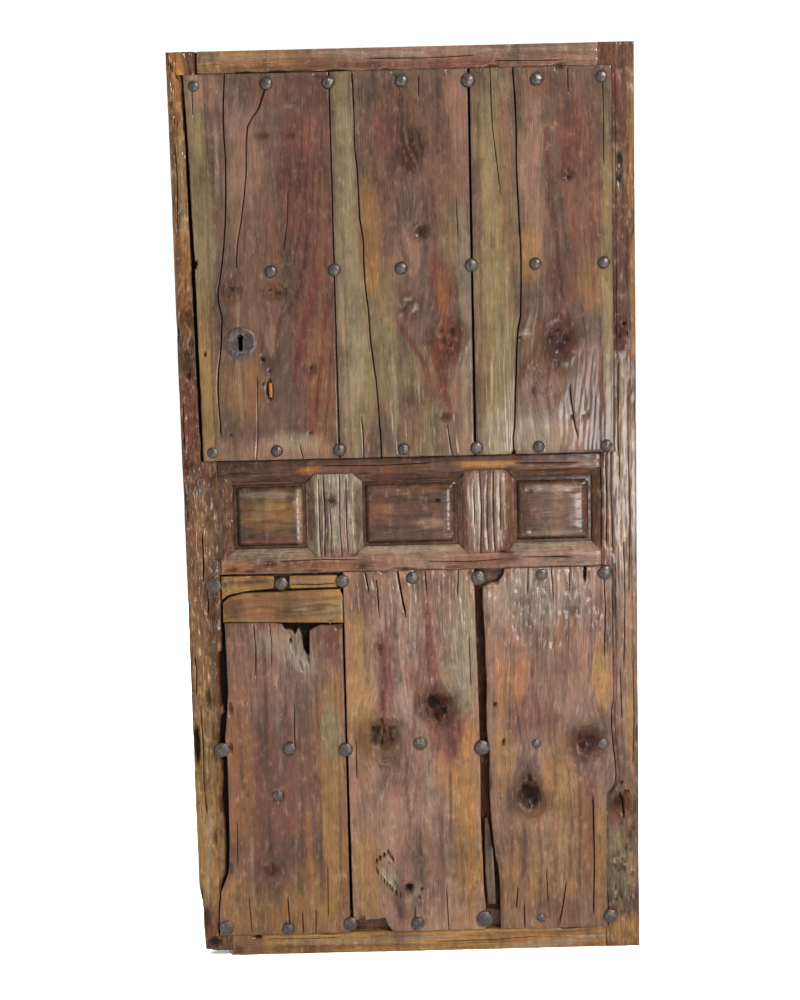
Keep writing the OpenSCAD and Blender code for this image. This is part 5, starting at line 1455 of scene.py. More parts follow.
def lower_centre_board():
    left = [(-148, 852), (-148.6, 700), (-148.6, 500), (-147.6, 300), (-147, 48)]
    right = [(133.5, 853), (133.5, 820), (134.5, 750), (135.5, 700), (137.5, 600), (139, 500), (139, 400),
             (137.5, 300), (139, 250), (141, 200), (141.5, 150), (145.5, 100), (146.5, 48)]
    bottom = [(-150, 77), (-122, 76), (-76, 79), (-71, 62), (-60, 48), (150, 48)]
    bend = [(x, 48 + (z - 48) * 0.4 + 70) for x, z in bottom]
    t = Timber("lower_centre_board_wood", [left, *uprights(-76, -71, -60), right],
               [bottom, bend, *levels(150, 852.5)], LOWER_FACE_Y, REBATE_Y, seed=59, base="mauve")
    t.base = t.base * 1.1
    t.wear(gnarl=0.8, relief=1.6)
    # the silver patch over the middle of the board is painted sheen over its weathered grey
    t.add("patch", (-122, 600, 30, 240, "ochre", 0.6), (-112, 170, 34, 120, "ochre", 0.6),
        (-122, 380, 22, 120, "pinkish", 0.3), (100, 660, 34, 190, "olive", 0.5),
        (106, 700, 28, 150, "pale", 0.4), (106, 270, 36, 230, "ochre", 0.8),
        (-20, 640, 50, 190, "silver", 0.16), (-20, 300, 70, 170, "mauve", 0.45),
        (20, 200, 60, 100, "pinkish", 0.35), (-10, 720, 60, 110, "mauve", 0.4),
        (20, 620, 40, 80, "reddish", 0.4), (60, 480, 40, 60, "reddish", 0.65),
        (-60, 640, 22, 90, "reddish", 0.5), (-40, 400, 60, 50, "pinkish", 0.45),
        (-90, 330, 40, 70, "mauve", 0.4), (10, 120, 90, 50, "mauve", 0.3),
        (30, 820, 80, 30, "pinkish", 0.5), (-100, 800, 40, 50, "pinkish", 0.5),
        (112, 480, 24, 60, "orange", 0.4), (60, 560, 44, 18, "reddish", 0.6, 30),
        (84, 520, 26, 40, "reddish", 0.6, -20), (70, 400, 30, 60, "orange", 0.3))
    t.add("streak", ([(-74, 715), (-63, 655), (-69, 576), (-77, 536)], 9, "reddish", 0.8),
        ([(-70, 690), (-66, 620), (-72, 545)], 4, "burnt", 0.5),
        ([(28, 790), (36, 690), (45, 600)], 9, "reddish", 0.75),
        ([(31, 750), (29, 680), (33, 610)], 4, "burnt", 0.55),
        ([(84, 540), (88, 490), (76, 430)], 11, "reddish", 0.8),
        ([(72, 413), (74, 340), (72, 275)], 3, "burnt", 0.55),
        ([(6, 275), (4, 210), (6, 155)], 3, "burnt", 0.5),
        ([(-53, 126), (-50, 100), (-46, 80)], 6, "reddish", 0.7),
        ([(50, 330), (54, 200), (50, 80)], 4, "brown", 0.4),
        ([(-20, 460), (-24, 380), (-16, 290)], 4, "burnt", 0.35),
        ([(0, 820), (-4, 740), (4, 640)], 4, "pale", 0.35),
        ([(60, 800), (64, 700), (60, 620)], 4, "pale", 0.35),
        ([(-100, 780), (-104, 680), (-100, 600)], 4, "burnt", 0.3),
        ([(-40, 780), (-36, 680), (-30, 600)], 4, "burnt", 0.4),
        ([(10, 640), (0, 560), (-6, 480)], 4, "reddish", 0.5),
        ([(112, 420), (116, 250), (112, 100)], 4, "orange", 0.4),
        ([(26, 450), (24, 360), (30, 260)], 4, "pale", 0.3), ([(96, 250), (98, 120)], 3, "brown", 0.4))
    t.add("split", ([(-100, 853), (-98, 833), (-94, 813)], 2.2, 10),
        ([(-78, 851), (-75, 816), (-73, 760)], 1.8, 9), ([(-31, 853), (-22, 790), (-16, 760)], 3.4, 18),
        ([(28, 853), (32, 800)], 1.4, 6), ([(100, 853), (97, 800)], 1.2, 6),
        ([(120, 700), (122, 600)], 1.0, 5), ([(-130, 480), (-131, 400)], 1.0, 5),
        ([(60, 140), (63, 52)], 1.2, 6), ([(-10, 100), (-12, 50)], 1.2, 6))
    t.add("knot", (-76, 690, 8, 7, "burnt", 0.7, 2), (-69, 494, 43, 46, "burnt", 0.62, 4.2, 0, 0.75),
        (47, 554, 33, 35, "burnt", 0.92, 5, 0, 0.8))
    t.add("dent", (40, 560, 14, 18, 7, 0.95), (60, 545, 10, 10, 6, 0.9), (46, 530, 12, 8, 4, 0.8),
        (34, 574, 8, 7, 4, 0.8))
    t.add("patch", (54, 568, 7, 6, "pale", 0.45), (33, 548, 5, 5, "pinkish", 0.5),
        (62, 556, 4, 5, "pinkish", 0.5), (-69, 492, 33, 37, "purple", 0.35))
    t.add("scar", ([(-100, 512), (-80, 498), (-66, 500), (-46, 488)], 2.6, 5, 0.9),
        ([(-74, 530), (-68, 504), (-76, 470)], 2.2, 5, 0.9),
        ([(-52, 520), (-60, 500), (-50, 474)], 2, 4, 0.8))
    t.add("dent", (-84, 506, 14, 8, 4, 0.7, 30), (-58, 480, 12, 9, 3.4, 0.65, -20),
        (-72, 472, 8, 6, 3, 0.6), (-52, 508, 9, 7, 3, 0.6), (-90, 484, 7, 9, 3, 0.6))
    t.add("patch", (-66, 500, 12, 8, "ochre", 0.5), (-82, 488, 7, 8, "pinkish", 0.5))
    t.add("scar", ([(-96, 206), (-82, 218), (-66, 229)], 7, 9, 0.95),
        ([(-66, 229), (-60, 219), (-56, 209)], 6, 8, 0.9),
        ([(-56, 209), (-68, 202), (-81, 197)], 5, 5, 0.8))
    t.add("patch", (-34, 148, 34, 22, "purple", 0.6, -40), (-40, 96, 12, 40, "purple", 0.6, 8),
        (-62, 176, 34, 20, "pale", 0.4, -52))
    t.dent(-64, 176, 34, 18, 5, 0.12, -52)
    t.add("scar", ([(-94, 193), (-80, 179), (-66, 164)], 2.6, 2, 0.0),
        ([(-100, 202), (-84, 172), (-58, 142), (-40, 130)], 3.4, 7, 0.9),
        ([(-84, 202), (-60, 168), (-42, 140)], 2, 4, 0.7),
        ([(-66, 204), (-44, 178), (-30, 156)], 1.6, 3, 0.5))
    t.add("dent", (-22, 146, 10, 12, 12, 0.95), (6, 141, 5, 5, 6, 0.85), (0, 127, 4, 4, 5, 0.85))
    t.patch(-12, 138, 16, 12, "pale", 0.4)
    t.add("dent", (-128, 80, 12, 6, 5, 0.6), (-140, 300, 4, 16, 3, 0.4), (125, 845, 8, 8, 5, 0.6),
        (-60, 852, 12, 5, 4, 0.6), (10, 851, 16, 4, 4, 0.5), (80, 851, 14, 4, 3, 0.5))
    for x, z in ((9, 472), (-5, 66)):
        t.dent(x, z, 18, 18, 2.4, 0.45, 0, 0.15)
    return t


def lower_right_board():
    left = [(178, 48), (178, 150), (175, 190), (168, 220), (165, 250), (162, 290), (160, 320), (159, 350),
            (159, 400), (160, 440), (155, 500), (155, 550), (157, 600), (155, 650), (155, 700), (153, 740),
            (151, 780), (151, 812)]
    right = from_right((55, 853), (55, 560), (60, 530), (60, 500), (56, 450), (50.5, 400), (52.5, 372),
                       (73, 345), (75.5, 300), (75.5, 200), (73.5, 150), (70.5, 110), (70.5, 48))
    top = [(150, 812), (165, 821), (177, 824), (186, 827), (195, 836), (199, 852), (367, 852.5),
           (369.5, 832), (373, 832), (375.5, 852), (406, 852.5), (409.5, 838), (413, 838), (415, 852),
           (432, 853)]
    bend = [(x, 700 + (z - 700) * 0.5) for x, z in top]
    t = Timber("lower_right_board_wood", [left, *uprights(186, 195, 199, 367, 369.5, 373, 375.5), right],
               [*levels(END_SHOW_Z + 1, 700), bend, top], LOWER_FACE_Y, REBATE_Y, seed=61)
    t.base = t.base * 0.7 + tone("mauve") * 0.42
    t.wear(gnarl=0.8, relief=1.4)
    # the mauve, purple and silver patches over the top of the board paint its pale glossy sheen (painted
    # highlight) as colour
    t.add("patch", (290, 790, 140, 60, "mauve", 0.65), (300, 780, 90, 40, "purple", 0.25),
        (270, 795, 120, 70, "silver", 0.35), (204, 610, 46, 90, "orange", 0.3),
        (405, 611, 20, 95, "ochre", 0.7), (300, 620, 60, 90, "pinkish", 0.5),
        (250, 520, 60, 60, "reddish", 0.35), (366, 290, 28, 130, "reddish", 0.6),
        (398, 210, 12, 140, "ochre", 0.8), (300, 200, 50, 120, "mauve", 0.15),
        (230, 220, 12, 66, "purple", 0.6), (190, 430, 26, 90, "ochre", 0.4),
        (200, 150, 26, 90, "ochre", 0.25), (310, 400, 50, 90, "ochre", 0.45),
        (290, 210, 100, 170, "ochre", 0.25), (290, 90, 80, 40, "pinkish", 0.5),
        (371, 500, 46, 50, "purple", 0.35), (248, 412, 24, 34, "purple", 0.7),
        (340, 560, 40, 60, "mauve", 0.45), (420, 750, 10, 90, "brown", 0.4),
        (215, 700, 40, 50, "mauve", 0.5), (260, 460, 40, 40, "mauve", 0.35))
    t.add("streak", ([(252, 800), (248, 700), (256, 600)], 4, "burnt", 0.35),
        ([(290, 820), (296, 720), (290, 620)], 4, "pale", 0.35),
        ([(330, 820), (334, 700), (328, 600)], 4, "burnt", 0.35),
        ([(380, 830), (384, 720), (378, 600)], 4, "purple", 0.5),
        ([(220, 560), (226, 500), (236, 440)], 4, "burnt", 0.45),
        ([(270, 560), (266, 480), (258, 420)], 4, "burnt", 0.35),
        ([(300, 520), (304, 400), (296, 300)], 4, "brown", 0.4),
        ([(262, 310), (270, 200), (262, 80)], 4, "burnt", 0.4),
        ([(330, 420), (336, 300), (330, 160)], 4, "burnt", 0.35),
        ([(354, 420), (356, 250), (350, 120)], 4, "burnt", 0.4),
        ([(200, 400), (206, 250), (196, 100)], 4, "brown", 0.35),
        ([(282, 300), (286, 180)], 4, "pale", 0.3), ([(310, 260), (314, 120)], 4, "pale", 0.3),
        ([(232, 290), (234, 220), (228, 160)], 5, "purple", 0.6))
    t.add("split", ([(217, 138), (215, 118), (213, 98)], 2, 9),
        ([(323, 148), (316, 100), (308, 60)], 1.8, 8), ([(230, 100), (231, 50)], 1.6, 8),
        ([(384, 340), (386, 200), (383, 82)], 2.2, 9), ([(250, 852), (248, 800)], 1.3, 7),
        ([(300, 852), (303, 790)], 1.2, 6), ([(340, 852), (338, 810)], 1.4, 7),
        ([(412, 838), (415, 760), (412, 660)], 1.4, 7), ([(280, 180), (283, 110)], 1.0, 5))
    t.add("knot", (371, 465, 34, 31, "purple", 0.8, 3.2, 0, 0.75),
        (248, 349, 31, 36, "burnt", 0.95, 5, 0, 0.8))
    t.add("dent", (378, 472, 10, 8, 4, 0.7), (360, 458, 9, 8, 4, 0.7), (374, 446, 8, 6, 3, 0.6),
        (356, 478, 6, 6, 3, 0.6))
    t.add("patch", (366, 470, 6, 5, "pale", 0.4), (384, 458, 5, 6, "pinkish", 0.5))
    t.add("dent", (248, 352, 17, 20, 8, 0.98), (258, 334, 10, 9, 5, 0.9), (236, 366, 8, 9, 5, 0.85))
    t.patch(262, 358, 5, 8, "pinkish", 0.4)
    t.add("dent", (246, 386, 7, 14, 5, 0.85), (179, 828, 9, 8, 12, 1.0), (371, 830, 4, 10, 12, 0.95),
        (175, 690, 5, 3, 4, 0.8, 30), (173, 556, 5, 5, 8, 0.9), (190, 471, 5, 5, 8, 0.9),
        (262, 465, 14, 14, 1.6, 0.3), (267, 71, 14, 14, 1.6, 0.3), (240, 780, 30, 12, 2, 0.3),
        (340, 760, 26, 14, 2, 0.3), (300, 700, 30, 20, 1.8, 0.2), (400, 780, 10, 30, 2.4, 0.35),
        (160, 745, 5, 20, 4, 0.5), (160, 380, 4, 20, 4, 0.5))
    for k in range(22):
        t.dent(215 + 190 * lattice(k, 2, 9), 700 + 145 * lattice(k, 6, 4), 3 + 3 * lattice(k, 4, 1), 6, 1.8,
               0.4)
    return t

# ---------------------------------------------------------------- repairs and back timber

def patch_block():
    left = [(-409, 750), (-409, 790), (-395, 803)]
    low = [(-409, 750), (-300, 746.8), (-150.5, 742.5)]
    high = [(-409, 792), (-395, 804), (-365, 811.5), (-157, 816), (-150.5, 801)]
    t = Timber("patch_block_wood", uprights(-409, -395, -365, -157, -150.5), [low, high],
               LOWER_FACE_Y + 2, REBATE_Y, "x", 67, "ochre")
    t.wear(dry=0.1, relief=0.7)
    t.add("patch", (-280, 780, 150, 40, "brown", 0.3), (-200, 770, 60, 24, "olive", 0.4),
        (-390, 780, 26, 24, "brown", 0.3))
    t.add("streak", ([(-400, 776), (-330, 782), (-270, 776), (-200, 784), (-156, 780)], 3, "brown", 0.6),
        ([(-400, 762), (-320, 766), (-250, 760), (-160, 764)], 3, "brown", 0.5),
        ([(-390, 794), (-300, 797), (-220, 792), (-160, 798)], 3, "reddish", 0.4),
        ([(-300, 772), (-240, 768), (-190, 773)], 2.5, "burnt", 0.35))
    t.knot(-206, 777, 14, 5, "brown", 0.5, 0.4)
    t.add("dent", (-336, 806, 12, 3, 2, 0.5), (-178, 748, 9, 4, 2.5, 0.5), (-405, 770, 3, 8, 2, 0.5))
    return t


def patch_slips():
    left = Timber("left_patch_slip_wood", uprights(-410, -395, -360, -300, -297),
                  [[(-410, 799), (-395, 809), (-360, 816), (-300, 821), (-296, 830)],
                   [(-410, 849), (-298, 848), (-296, 840)]], LOWER_FACE_Y + 3, REBATE_Y, "x", 71, "ochre")
    right = Timber("right_patch_slip_wood", uprights(-264.5, -262, -163, -160.5),
                   [[(-265, 830), (-262, 820.5), (-162, 820.5), (-160, 834)],
                    [(-265, 838), (-263, 847), (-163, 846), (-160, 840)]], LOWER_FACE_Y + 3, REBATE_Y, "x",
                   73, "ochre")
    left.patch(-350, 835, 50, 10, "brown", 0.4)
    left.streak([(-400, 838), (-350, 836), (-302, 838)], 3, "burnt", 0.45)
    left.add("dent", (-404, 828, 6, 14, 4, 0.6), (-340, 846, 16, 4, 3, 0.5))
    right.patch(-210, 832, 46, 8, "brown", 0.35)
    right.streak([(-258, 836), (-210, 834), (-168, 836)], 3, "pale", 0.5)
    right.split([(-255, 829), (-200, 827), (-170, 829)], 1.1, 5)
    for t in (left, right):
        t.dry = 0.3
        t.relief = 1.2
    return [left, right]


def loose_splinter():
    j = 141
    t = Timber("loose_splinter_wood",
               [[(j + 9, 102), (j + 6, 150), (j + 4.5, 200), (j + 5.5, 250), (j + 6, 297)],
                [(j + 27, 104), (j + 26, 150), (j + 24, 200), (j + 21, 240), (j + 17, 270), (j + 11, 299)]],
               levels(103, 298), REBATE_Y - 15, REBATE_Y, seed=79, base="brown")
    t.wear(relief=1.4)
    t.patch(160, 200, 12, 90, "pale", 0.3)
    t.streak([(154, 280), (160, 120)], 3, "burnt", 0.6)
    t.dent(160, 240, 5, 20, 3, 0.5)
    return t


def plain_timber(node, along, seed, coarse=2.0, base="brown"):
    """A straight timber as large as its CAD node."""
    low, high = extent(node)
    t = Timber(node + "_wood", uprights(low[0], high[0]), levels(low[2], high[2]), low[1], high[1],
               along, seed, base)
    return t.wear(coarse=coarse)


def slot_plug():
    return plain_timber("slot_plug", "z", 83, 0.6, "orange").patch(-290, 1247, 6, 20, "orange", 0.6)


def darken_front(piece, amount):
    """Paints shade on the side of a hidden timber that shows only at the bottom of a joint: its front is
    darkened and given a hollow value.
    """
    colours = piece.data.attributes["tint"]
    values = np.empty(len(piece.data.vertices) * 4, dtype=np.float32)
    colours.data.foreach_get("color", values)
    values = values.reshape(-1, 4)
    y = coordinates(piece.data)[:, 1]
    front = y < (y.min() + y.max()) / 2
    values[front, :3] *= 1 - 0.8 * amount
    colours.data.foreach_set("color", values.ravel())
    piece.data.attributes["hollow"].data.foreach_set("value", np.where(front, amount, 0).astype(np.float32))


# ---------------------------------------------------------------- iron

def islands(node, reach):
    """Low and high corners (mm) of the separate small solids of one CAD node."""
    points = np.array([v.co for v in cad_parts[node].data.vertices]) / MM
    found = []
    while len(points):
        near = np.hypot(points[:, 0] - points[0, 0], points[:, 2] - points[0, 2]) < reach
        found.append((points[near].min(0), points[near].max(0)))
        points = points[~near]
    return sorted(found, key=lambda f: (-round(f[0][2] / 40), f[0][0]))


def dome(number, x, y, z, radius, height, sides):
    """Head of one hand-forged nail: a hammered dome, its rim at y; its square shank is made apart."""
    deselect_all()
    bpy.ops.mesh.primitive_uv_sphere_add(segments=sides, ring_count=sides // 2, radius=1)
    piece = bpy.context.object
    start_edit()
    bpy.ops.mesh.bisect(plane_co=(0, 0, 0.0), plane_no=(0, 0, 1), clear_inner=True, use_fill=True)
    end_edit()
    co = coordinates(piece.data)
    angle = np.arctan2(co[:, 1], co[:, 0])
    flat = np.hypot(co[:, 0], co[:, 1])
    rim = (1 + 0.045 * ripple(angle * 1.6 + 9, number * 1.7, 5) * flat
           + 0.02 * ripple(angle * 4 + 30, number, 6) * flat)
    dents = 0.09 * rough(co[:, 0] * 2.3 + number * 3.1, co[:, 1] * 2.3, 7, 2) * fade(co[:, 2], 0, 0.3)
    facet = 0.05 * np.abs(ripple(co[:, 0] * 3.5 + number, co[:, 1] * 3.5 + 4, 8)) * fade(co[:, 2], 0.02, 0.4)
    lean = 0.05 * (co[:, 0] * math.sin(number * 2.4) + co[:, 1] * math.cos(number * 1.9))
    lean = lean * fade(co[:, 2], 0, 0.2)
    tall = np.maximum(co[:, 2] ** 0.9 + dents - facet + lean, 0) * height * 0.97
    out = np.column_stack([x + co[:, 0] * rim * radius, y - np.where(co[:, 2] < 1e-4, 0, tall),
                           z + co[:, 1] * rim * radius])
    set_coordinates(piece.data, out * MM)
    face_outwards(piece)
    return piece


def square_bar(x0, x1, y0, y1, z0, z1, taper=0.5):
    """A square shank from y0 to a tapered end at y1."""
    deselect_all()
    bpy.ops.mesh.primitive_cube_add(size=2)
    piece = bpy.context.object
    co = coordinates(piece.data)
    narrow = np.where(co[:, 1] > 0, taper, 1)
    out = np.column_stack([(x0 + x1) / 2 + co[:, 0] * narrow * (x1 - x0) / 2,
                           (y0 + y1) / 2 + co[:, 1] * (y1 - y0) / 2,
                           (z0 + z1) / 2 + co[:, 2] * narrow * (z1 - z0) / 2])
    set_coordinates(piece.data, out * MM)
    return piece


def sheet_iron(name, low, high, bevel, cuts, wobble, seed):
    """A forged plate or box between two corners, with soft edges and hammered faces."""
    deselect_all()
    bpy.ops.mesh.primitive_cube_add(size=2)
    piece = bpy.context.object
    piece.name = name
    co = coordinates(piece.data)
    middle, half = (np.array(low) + high) / 2, (np.array(high) - low) / 2
    set_coordinates(piece.data, (middle + co * half) * MM)
    start_edit()
    bpy.ops.mesh.bevel(offset=bevel * MM, segments=3, affect="EDGES")
    bpy.ops.mesh.select_all(action="SELECT")
    bpy.ops.mesh.subdivide(number_cuts=cuts)
    end_edit()
    co = coordinates(piece.data) / MM
    bump = wobble * rough(co[:, 0] / 22, co[:, 2] / 22, seed, 3)
    # the back of the plate stays flat on what carries it
    free = fade(co[:, 1], low[1], low[1] + 0.8 * bevel + 0.2)
    co[:, 1] += bump * free - wobble * free
    edge = 0.5 * wobble * rough(co[:, 0] / 15 + co[:, 2] / 15, co[:, 1] / 20, seed + 3, 2)
    co[:, 0] -= np.abs(edge) * np.sign(co[:, 0] - middle[0])
    co[:, 2] -= np.abs(edge) * np.sign(co[:, 2] - middle[2])
    set_coordinates(piece.data, co * MM)
    return piece


def keyhole_plate():
    low, high = extent("keyhole_plate")
    x, z = (low[0] + high[0]) / 2, (low[2] + high[2]) / 2
    radius, thick = (high[0] - low[0]) / 2, high[1] - low[1]
    deselect_all()
    bpy.ops.mesh.primitive_cylinder_add(vertices=96, radius=1, depth=1, end_fill_type="NGON")
    piece = bpy.context.object
    bpy.ops.object.mode_set(mode="EDIT")
    bpy.ops.mesh.select_all(action="DESELECT")
    edit = bmesh.from_edit_mesh(piece.data)
    for f in edit.faces:
        f.select = f.normal.z > 0.9
    bmesh.update_edit_mesh(piece.data)
    for step in (0.05, 0.07, 0.12, 0.16, 0.14):
        bpy.ops.mesh.inset(thickness=step)
    end_edit()
    co = coordinates(piece.data)
    angle = np.arctan2(co[:, 1], co[:, 0])
    far = np.hypot(co[:, 0], co[:, 1])
    rim = 1 + 0.022 * ripple(angle * 1.3 + 7, 2.5, 3) + 0.012 * ripple(angle * 4 + 20, 1.5, 4)
    top = co[:, 2] > 0
    hammered = 0.5 * rough(co[:, 0] * 3, co[:, 1] * 3, 5, 2)
    rise = np.where(top, thick * (1 - 0.55 * fade(far, 0.9, 1.02)) + hammered * top, 0)
    rise += np.where(top, 0.8 * np.exp(-((far - 0.82) / 0.1) ** 2), 0)
    out = np.column_stack([x + co[:, 0] * rim * radius, high[1] - rise, z + co[:, 1] * rim * radius])
    set_coordinates(piece.data, out * MM)
    face_outwards(piece)
    cutter = keyhole_cutter(x, high[1], KEY_Z)
    apply_modifier(piece, "BOOLEAN", object=cutter, operation="DIFFERENCE", solver="EXACT")
    bpy.data.objects.remove(cutter)
    piece.name = "keyhole_plate_iron"
    return piece


def keyhole_cutter(x, y, z):
    """Round end and slot of the keyhole as one closed solid."""
    deselect_all()
    bpy.ops.mesh.primitive_cylinder_add(vertices=32, radius=6.4 * MM, depth=24 * MM,
                                        location=(x * MM, y * MM, z * MM), rotation=(math.pi / 2, 0, 0))
    round_end = bpy.context.object
    deselect_all()
    bpy.ops.mesh.primitive_cube_add(size=1, location=(x * MM, y * MM, (z - 13.8) * MM))
    slot = bpy.context.object
    slot.scale = (9.2 * MM, 26 * MM, 28.6 * MM)
    apply_modifier(round_end, "BOOLEAN", object=slot, operation="UNION", solver="EXACT")
    bpy.data.objects.remove(slot)
    return round_end


# ---------------------------------------------------------------- operators

def make(timber, slot, *nodes, dark=0.0, extra=()):
    """Builds a timber and hands it over."""
    piece = join(timber.name, [timber.build()] + [t.build() for t in extra])
    # painted shade on the front of a hidden timber seen through a gap
    if dark:
        darken_front(piece, dark)
    return hand_over(piece, LEAF, slot, *nodes)


class MakeStiles(bpy.types.Operator):
    """Closing stile and hanging stile, rebated for the boards"""
    bl_idname = "door.stiles"
    bl_label = "Stiles"

    def execute(self, context):
        for build in (left_stile, right_stile):
            make(build(), "frame_wood", build.__name__)
        return {"FINISHED"}


class MakeRails(bpy.types.Operator):
    """Four rails with their hidden bodies and through tenons"""
    bl_idname = "door.rails"
    bl_label = "Rails"

    def execute(self, context):
        for build, tenon_z, seed in ((top_rail, LEAF_H - 77, 107), (upper_mid_rail, 1078, 109),
                                     (lower_mid_rail, 821, 111), (bottom_rail, 25, 113)):
            node = build.__name__
            make(build(), "frame_wood", node, extra=rail_ends(extent(node)[0][2], tenon_z, seed))
        return {"FINISHED"}


class MakeMuntins(bpy.types.Operator):
    """The two short uprights between the panels"""
    bl_idname = "door.muntins"
    bl_label = "Muntins"

    def execute(self, context):
        for build, x, seed in ((left_muntin, -MUNTIN_X, 117), (right_muntin, MUNTIN_X, 119)):
            body = Timber("muntin_body", uprights(x - MUNTIN_HALF, x + MUNTIN_HALF),
                          levels(BAND_Z, BAND_TOP_Z), REBATE_Y, BACK_Y, seed=seed, base="brown")
            make(build(), "frame_wood", build.__name__, extra=[body.wear(coarse=2)])
        return {"FINISHED"}


class MakePanels(bpy.types.Operator):
    """Three fielded panels"""
    bl_idname = "door.panels"
    bl_label = "Panels"

    def execute(self, context):
        for build in (left_panel, centre_panel, right_panel):
            make(build(), "panel_wood", build.__name__)
        return {"FINISHED"}


class MakeUpperBoards(bpy.types.Operator):
    """Three wide boards above the panels"""
    bl_idname = "door.upper_boards"
    bl_label = "Upper boards"

    def execute(self, context):
        for build in (upper_left_board, upper_centre_board, upper_right_board):
            make(build(), "board_wood", build.__name__)
        return {"FINISHED"}


class MakeLowerBoards(bpy.types.Operator):
    """Three wide boards below the panels, split and knotty"""
    bl_idname = "door.lower_boards"
    bl_label = "Lower boards"

    def execute(self, context):
        for build in (lower_left_board, lower_centre_board, lower_right_board):
            make(build(), "board_wood", build.__name__)
        return {"FINISHED"}


class MakeRepairs(bpy.types.Operator):
    """Block and slips let into the lower left board, the splinter and the slip in the old slot"""
    bl_idname = "door.repairs"
    bl_label = "Repairs"

    def execute(self, context):
        make(patch_block(), "patch_wood", "patch_block")
        for t, node in zip(patch_slips(), ("left_patch_slip", "right_patch_slip")):
            make(t, "patch_wood", node)
        make(loose_splinter(), "board_wood", "loose_splinter")
        make(slot_plug(), "patch_wood", "slot_plug")
        return {"FINISHED"}


class MakeBackTimber(bpy.types.Operator):
    """Ledges, cover strips, backing board, lock block and the tenons' wedges"""
    bl_idname = "door.back_timber"
    bl_label = "Back timber"

    def execute(self, context):
        # the last value is painted shade on the fronts of the cover strips and the backing board, seen down
        # the gaps and holes
        for node, along, seed, dark in (("upper_ledge", "x", 127, 0), ("lower_ledge", "x", 131, 0),
                                        ("left_cover_strip", "z", 137, 0.7),
                                        ("right_cover_strip", "z", 139, 0.3),
                                        ("patch_backing", "z", 149, 0.7), ("lock_block", "z", 151, 0)):
            make(plain_timber(node, along, seed), "back_wood", node, dark=dark)
        dress(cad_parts["tenon_wedges"], "wedge_wood")
        return {"FINISHED"}


class MakeNails(bpy.types.Operator):
    """Forged nails with hammered domes"""
    bl_idname = "door.nails"
    bl_label = "Nails"

    def execute(self, context):
        sides = context.scene.door_sizes.nail_sides
        parts = []
        for number, (low, high) in enumerate(islands("domed_nails", 40)):
            x, z = (low[0] + high[0]) / 2, (low[2] + high[2]) / 2
            radius = (high[0] - low[0]) / 2
            faces = (UPPER_FACE_Y, LOWER_FACE_Y, FRONT_Y)
            face = min((y for y in faces if y > low[1] + 1), key=lambda y: y - low[1])
            parts.append(dome(number, x, face + 1.2, z, radius, face - low[1] + 1.2, sides))
            parts.append(square_bar(x - 2.6, x + 2.6, face + 1, high[1], z - 2.6, z + 2.6))
        piece = join("domed_nails_iron", parts)
        hand_over(piece, LEAF, "forged_iron", "domed_nails", angle=50)
        return {"FINISHED"}


class MakeKeyholePlate(bpy.types.Operator):
    """Round iron plate with the keyhole, and its tacks"""
    bl_idname = "door.keyhole_plate"
    bl_label = "Keyhole plate"

    def execute(self, context):
        hand_over(keyhole_plate(), LEAF, "forged_iron", "keyhole_plate", angle=35)
        tacks = []
        for number, (low, high) in enumerate(islands("plate_tacks", 10)):
            x, z = (low[0] + high[0]) / 2, (low[2] + high[2]) / 2
            tacks.append(dome(60 + number, x, low[1] + 1.2, z, (high[0] - low[0]) / 2 + 0.3, 1.5, 16))
            tacks.append(square_bar(x - 1, x + 1, low[1] + 1, high[1], z - 1, z + 1))
        hand_over(join("plate_tacks_iron", tacks), LEAF, "forged_iron", "plate_tacks", angle=50)
        return {"FINISHED"}


class MakeLock(bpy.types.Operator):
    """Box lock on the back: plate, cover, bolt and their small ironwork"""
    bl_idname = "door.lock"
    bl_label = "Lock"

    def execute(self, context):
        low, high = extent("lock_plate")
        plate = sheet_iron("lock_plate_iron", low, high, 0.7, 9, 0.25, 5)
        hand_over(plate, LEAF, "lock_iron", "lock_plate", angle=35)
        low, high = extent("lock_cover")
        sheet = extent("lock_plate")[1][1] - extent("lock_plate")[0][1]
        ear_h = 9
        box_low, box_high = [low[0], low[1], low[2] + ear_h], [high[0], high[1], high[2] - ear_h]
        parts = [sheet_iron("lock_cover_iron", box_low, box_high, 4, 10, 0.5, 9)]
        for x in (box_low[0] + 55, box_high[0] - 30):
            ear_low, ear_high = [x - 8, low[1], low[2]], [x + 8, low[1] + sheet, high[2]]
            parts.append(sheet_iron("ear", ear_low, ear_high, 0.7, 6, 0.2, 11))
        hand_over(join("lock_cover_iron", parts), LEAF, "lock_iron", "lock_cover", angle=35)
        low, high = extent("lock_bolt")
        bolt = sheet_iron("lock_bolt_iron", low, high, 1.2, 6, 0.25, 13)
        hand_over(bolt, BOLT, "lock_iron", "lock_bolt", angle=35)
        for node in ("lock_rivets", "lock_nails", "bolt_spring", "key_post", "bolt_staple", "strip_nails"):
            dress(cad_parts[node], "lock_iron")
        return {"FINISHED"}


# Place (m), lens and sensor (mm) of the camera, and place, power and width of each lamp
EYE = (-0.023, -3.324, 1.387)
LENS = 55.9
SENSOR_W = 36
LAMPS = {
    "key_light": ((2.3, -2.9, 3.5), 460, 0.8),
    "sheen_light": ((1.25, -3.3, 0.7), 100, 0.8),
    "fill_light": ((-3.2, -3.2, 1.6), 50, 2.0),
    "rear_light": ((-1.6, 3.6, 2.8), 330, 1.4),
}


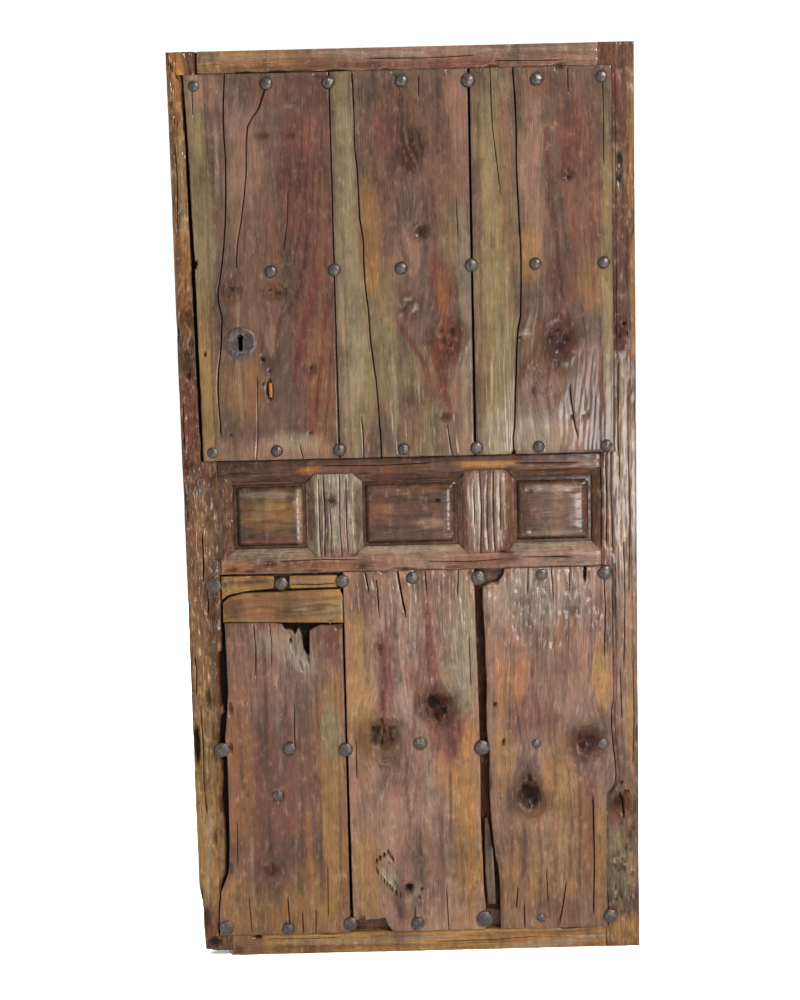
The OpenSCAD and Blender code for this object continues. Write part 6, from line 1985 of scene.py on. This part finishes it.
class MakeStage(bpy.types.Operator):
    """Pale floor, soft light and the camera"""
    bl_idname = "door.stage"
    bl_label = "Stage"

    def execute(self, context):
        deselect_all()
        bpy.ops.mesh.primitive_grid_add(x_subdivisions=8, y_subdivisions=8, size=40)
        floor = bpy.context.object
        floor.name = "floor"
        dress(floor, "plain_floor")
        scene = context.scene
        scene.view_settings.view_transform = "Standard"
        world = bpy.data.worlds.new("soft_room")
        world.use_nodes = True
        world.node_tree.nodes["Background"].inputs["Color"].default_value = (1, 1, 1, 1)
        world.node_tree.nodes["Background"].inputs["Strength"].default_value = 1.08
        scene.world = world
        aim = Vector((0, 0, 1.0))
        for name, (place, energy, width) in LAMPS.items():
            data = bpy.data.lights.new(name, "AREA")
            data.energy = energy
            data.size = width
            lamp = bpy.data.objects.new(name, data)
            scene.collection.objects.link(lamp)
            lamp.location = place
            lamp.rotation_euler = (aim - Vector(place)).to_track_quat("-Z", "Y").to_euler()
        self.camera(scene)
        return {"FINISHED"}

    @staticmethod
    def camera(scene):
        """Camera a little above the middle, looking slightly down and a touch tilted."""
        yaw, pitch, roll = math.radians(0.02), math.radians(-6.59), math.radians(-1.39)
        ahead = Vector((math.sin(yaw) * math.cos(pitch), math.cos(yaw) * math.cos(pitch), math.sin(pitch)))
        right = Vector((math.cos(yaw), -math.sin(yaw), 0))
        up = right.cross(ahead)
        turned = right * math.cos(roll) + up * math.sin(roll)
        risen = up * math.cos(roll) - right * math.sin(roll)
        data = bpy.data.cameras.new("camera")
        data.lens = LENS
        data.sensor_width = SENSOR_W
        camera = bpy.data.objects.new("camera", data)
        scene.collection.objects.link(camera)
        turn = Matrix((turned, risen, -ahead)).transposed().to_4x4()
        camera.matrix_world = Matrix.Translation(Vector(EYE)) @ turn
        scene.camera = camera


class DoorPanel(bpy.types.Panel):
    """Lists the door's sizes, colours and pieces"""
    bl_idname = "VIEW3D_PT_door"
    bl_label = "Old door"
    bl_space_type = "VIEW_3D"
    bl_region_type = "UI"
    bl_category = "Door"

    def draw(self, context):
        for group in (context.scene.door_sizes, context.scene.door_colours):
            for name in group.__annotations__:
                self.layout.prop(group, name)
        for piece in PIECES:
            self.layout.operator(piece.bl_idname)


PIECES = (MakeStage, MakeStiles, MakeRails, MakeMuntins, MakePanels, MakeUpperBoards, MakeLowerBoards,
          MakeRepairs, MakeBackTimber, MakeNails, MakeKeyholePlate, MakeLock)
CLASSES = (DoorSizes, DoorColours) + PIECES + (DoorPanel,)


def register():
    for c in CLASSES:
        bpy.utils.register_class(c)
    bpy.types.Scene.door_sizes = PointerProperty(type=DoorSizes)
    bpy.types.Scene.door_colours = PointerProperty(type=DoorColours)


def unregister():
    del bpy.types.Scene.door_colours
    del bpy.types.Scene.door_sizes
    for c in reversed(CLASSES):
        bpy.utils.unregister_class(c)


def main():
    register()
    for piece in PIECES:
        group, name = piece.bl_idname.split(".")
        getattr(getattr(bpy.ops, group), name)()


if __name__ == "__main__":
    main()
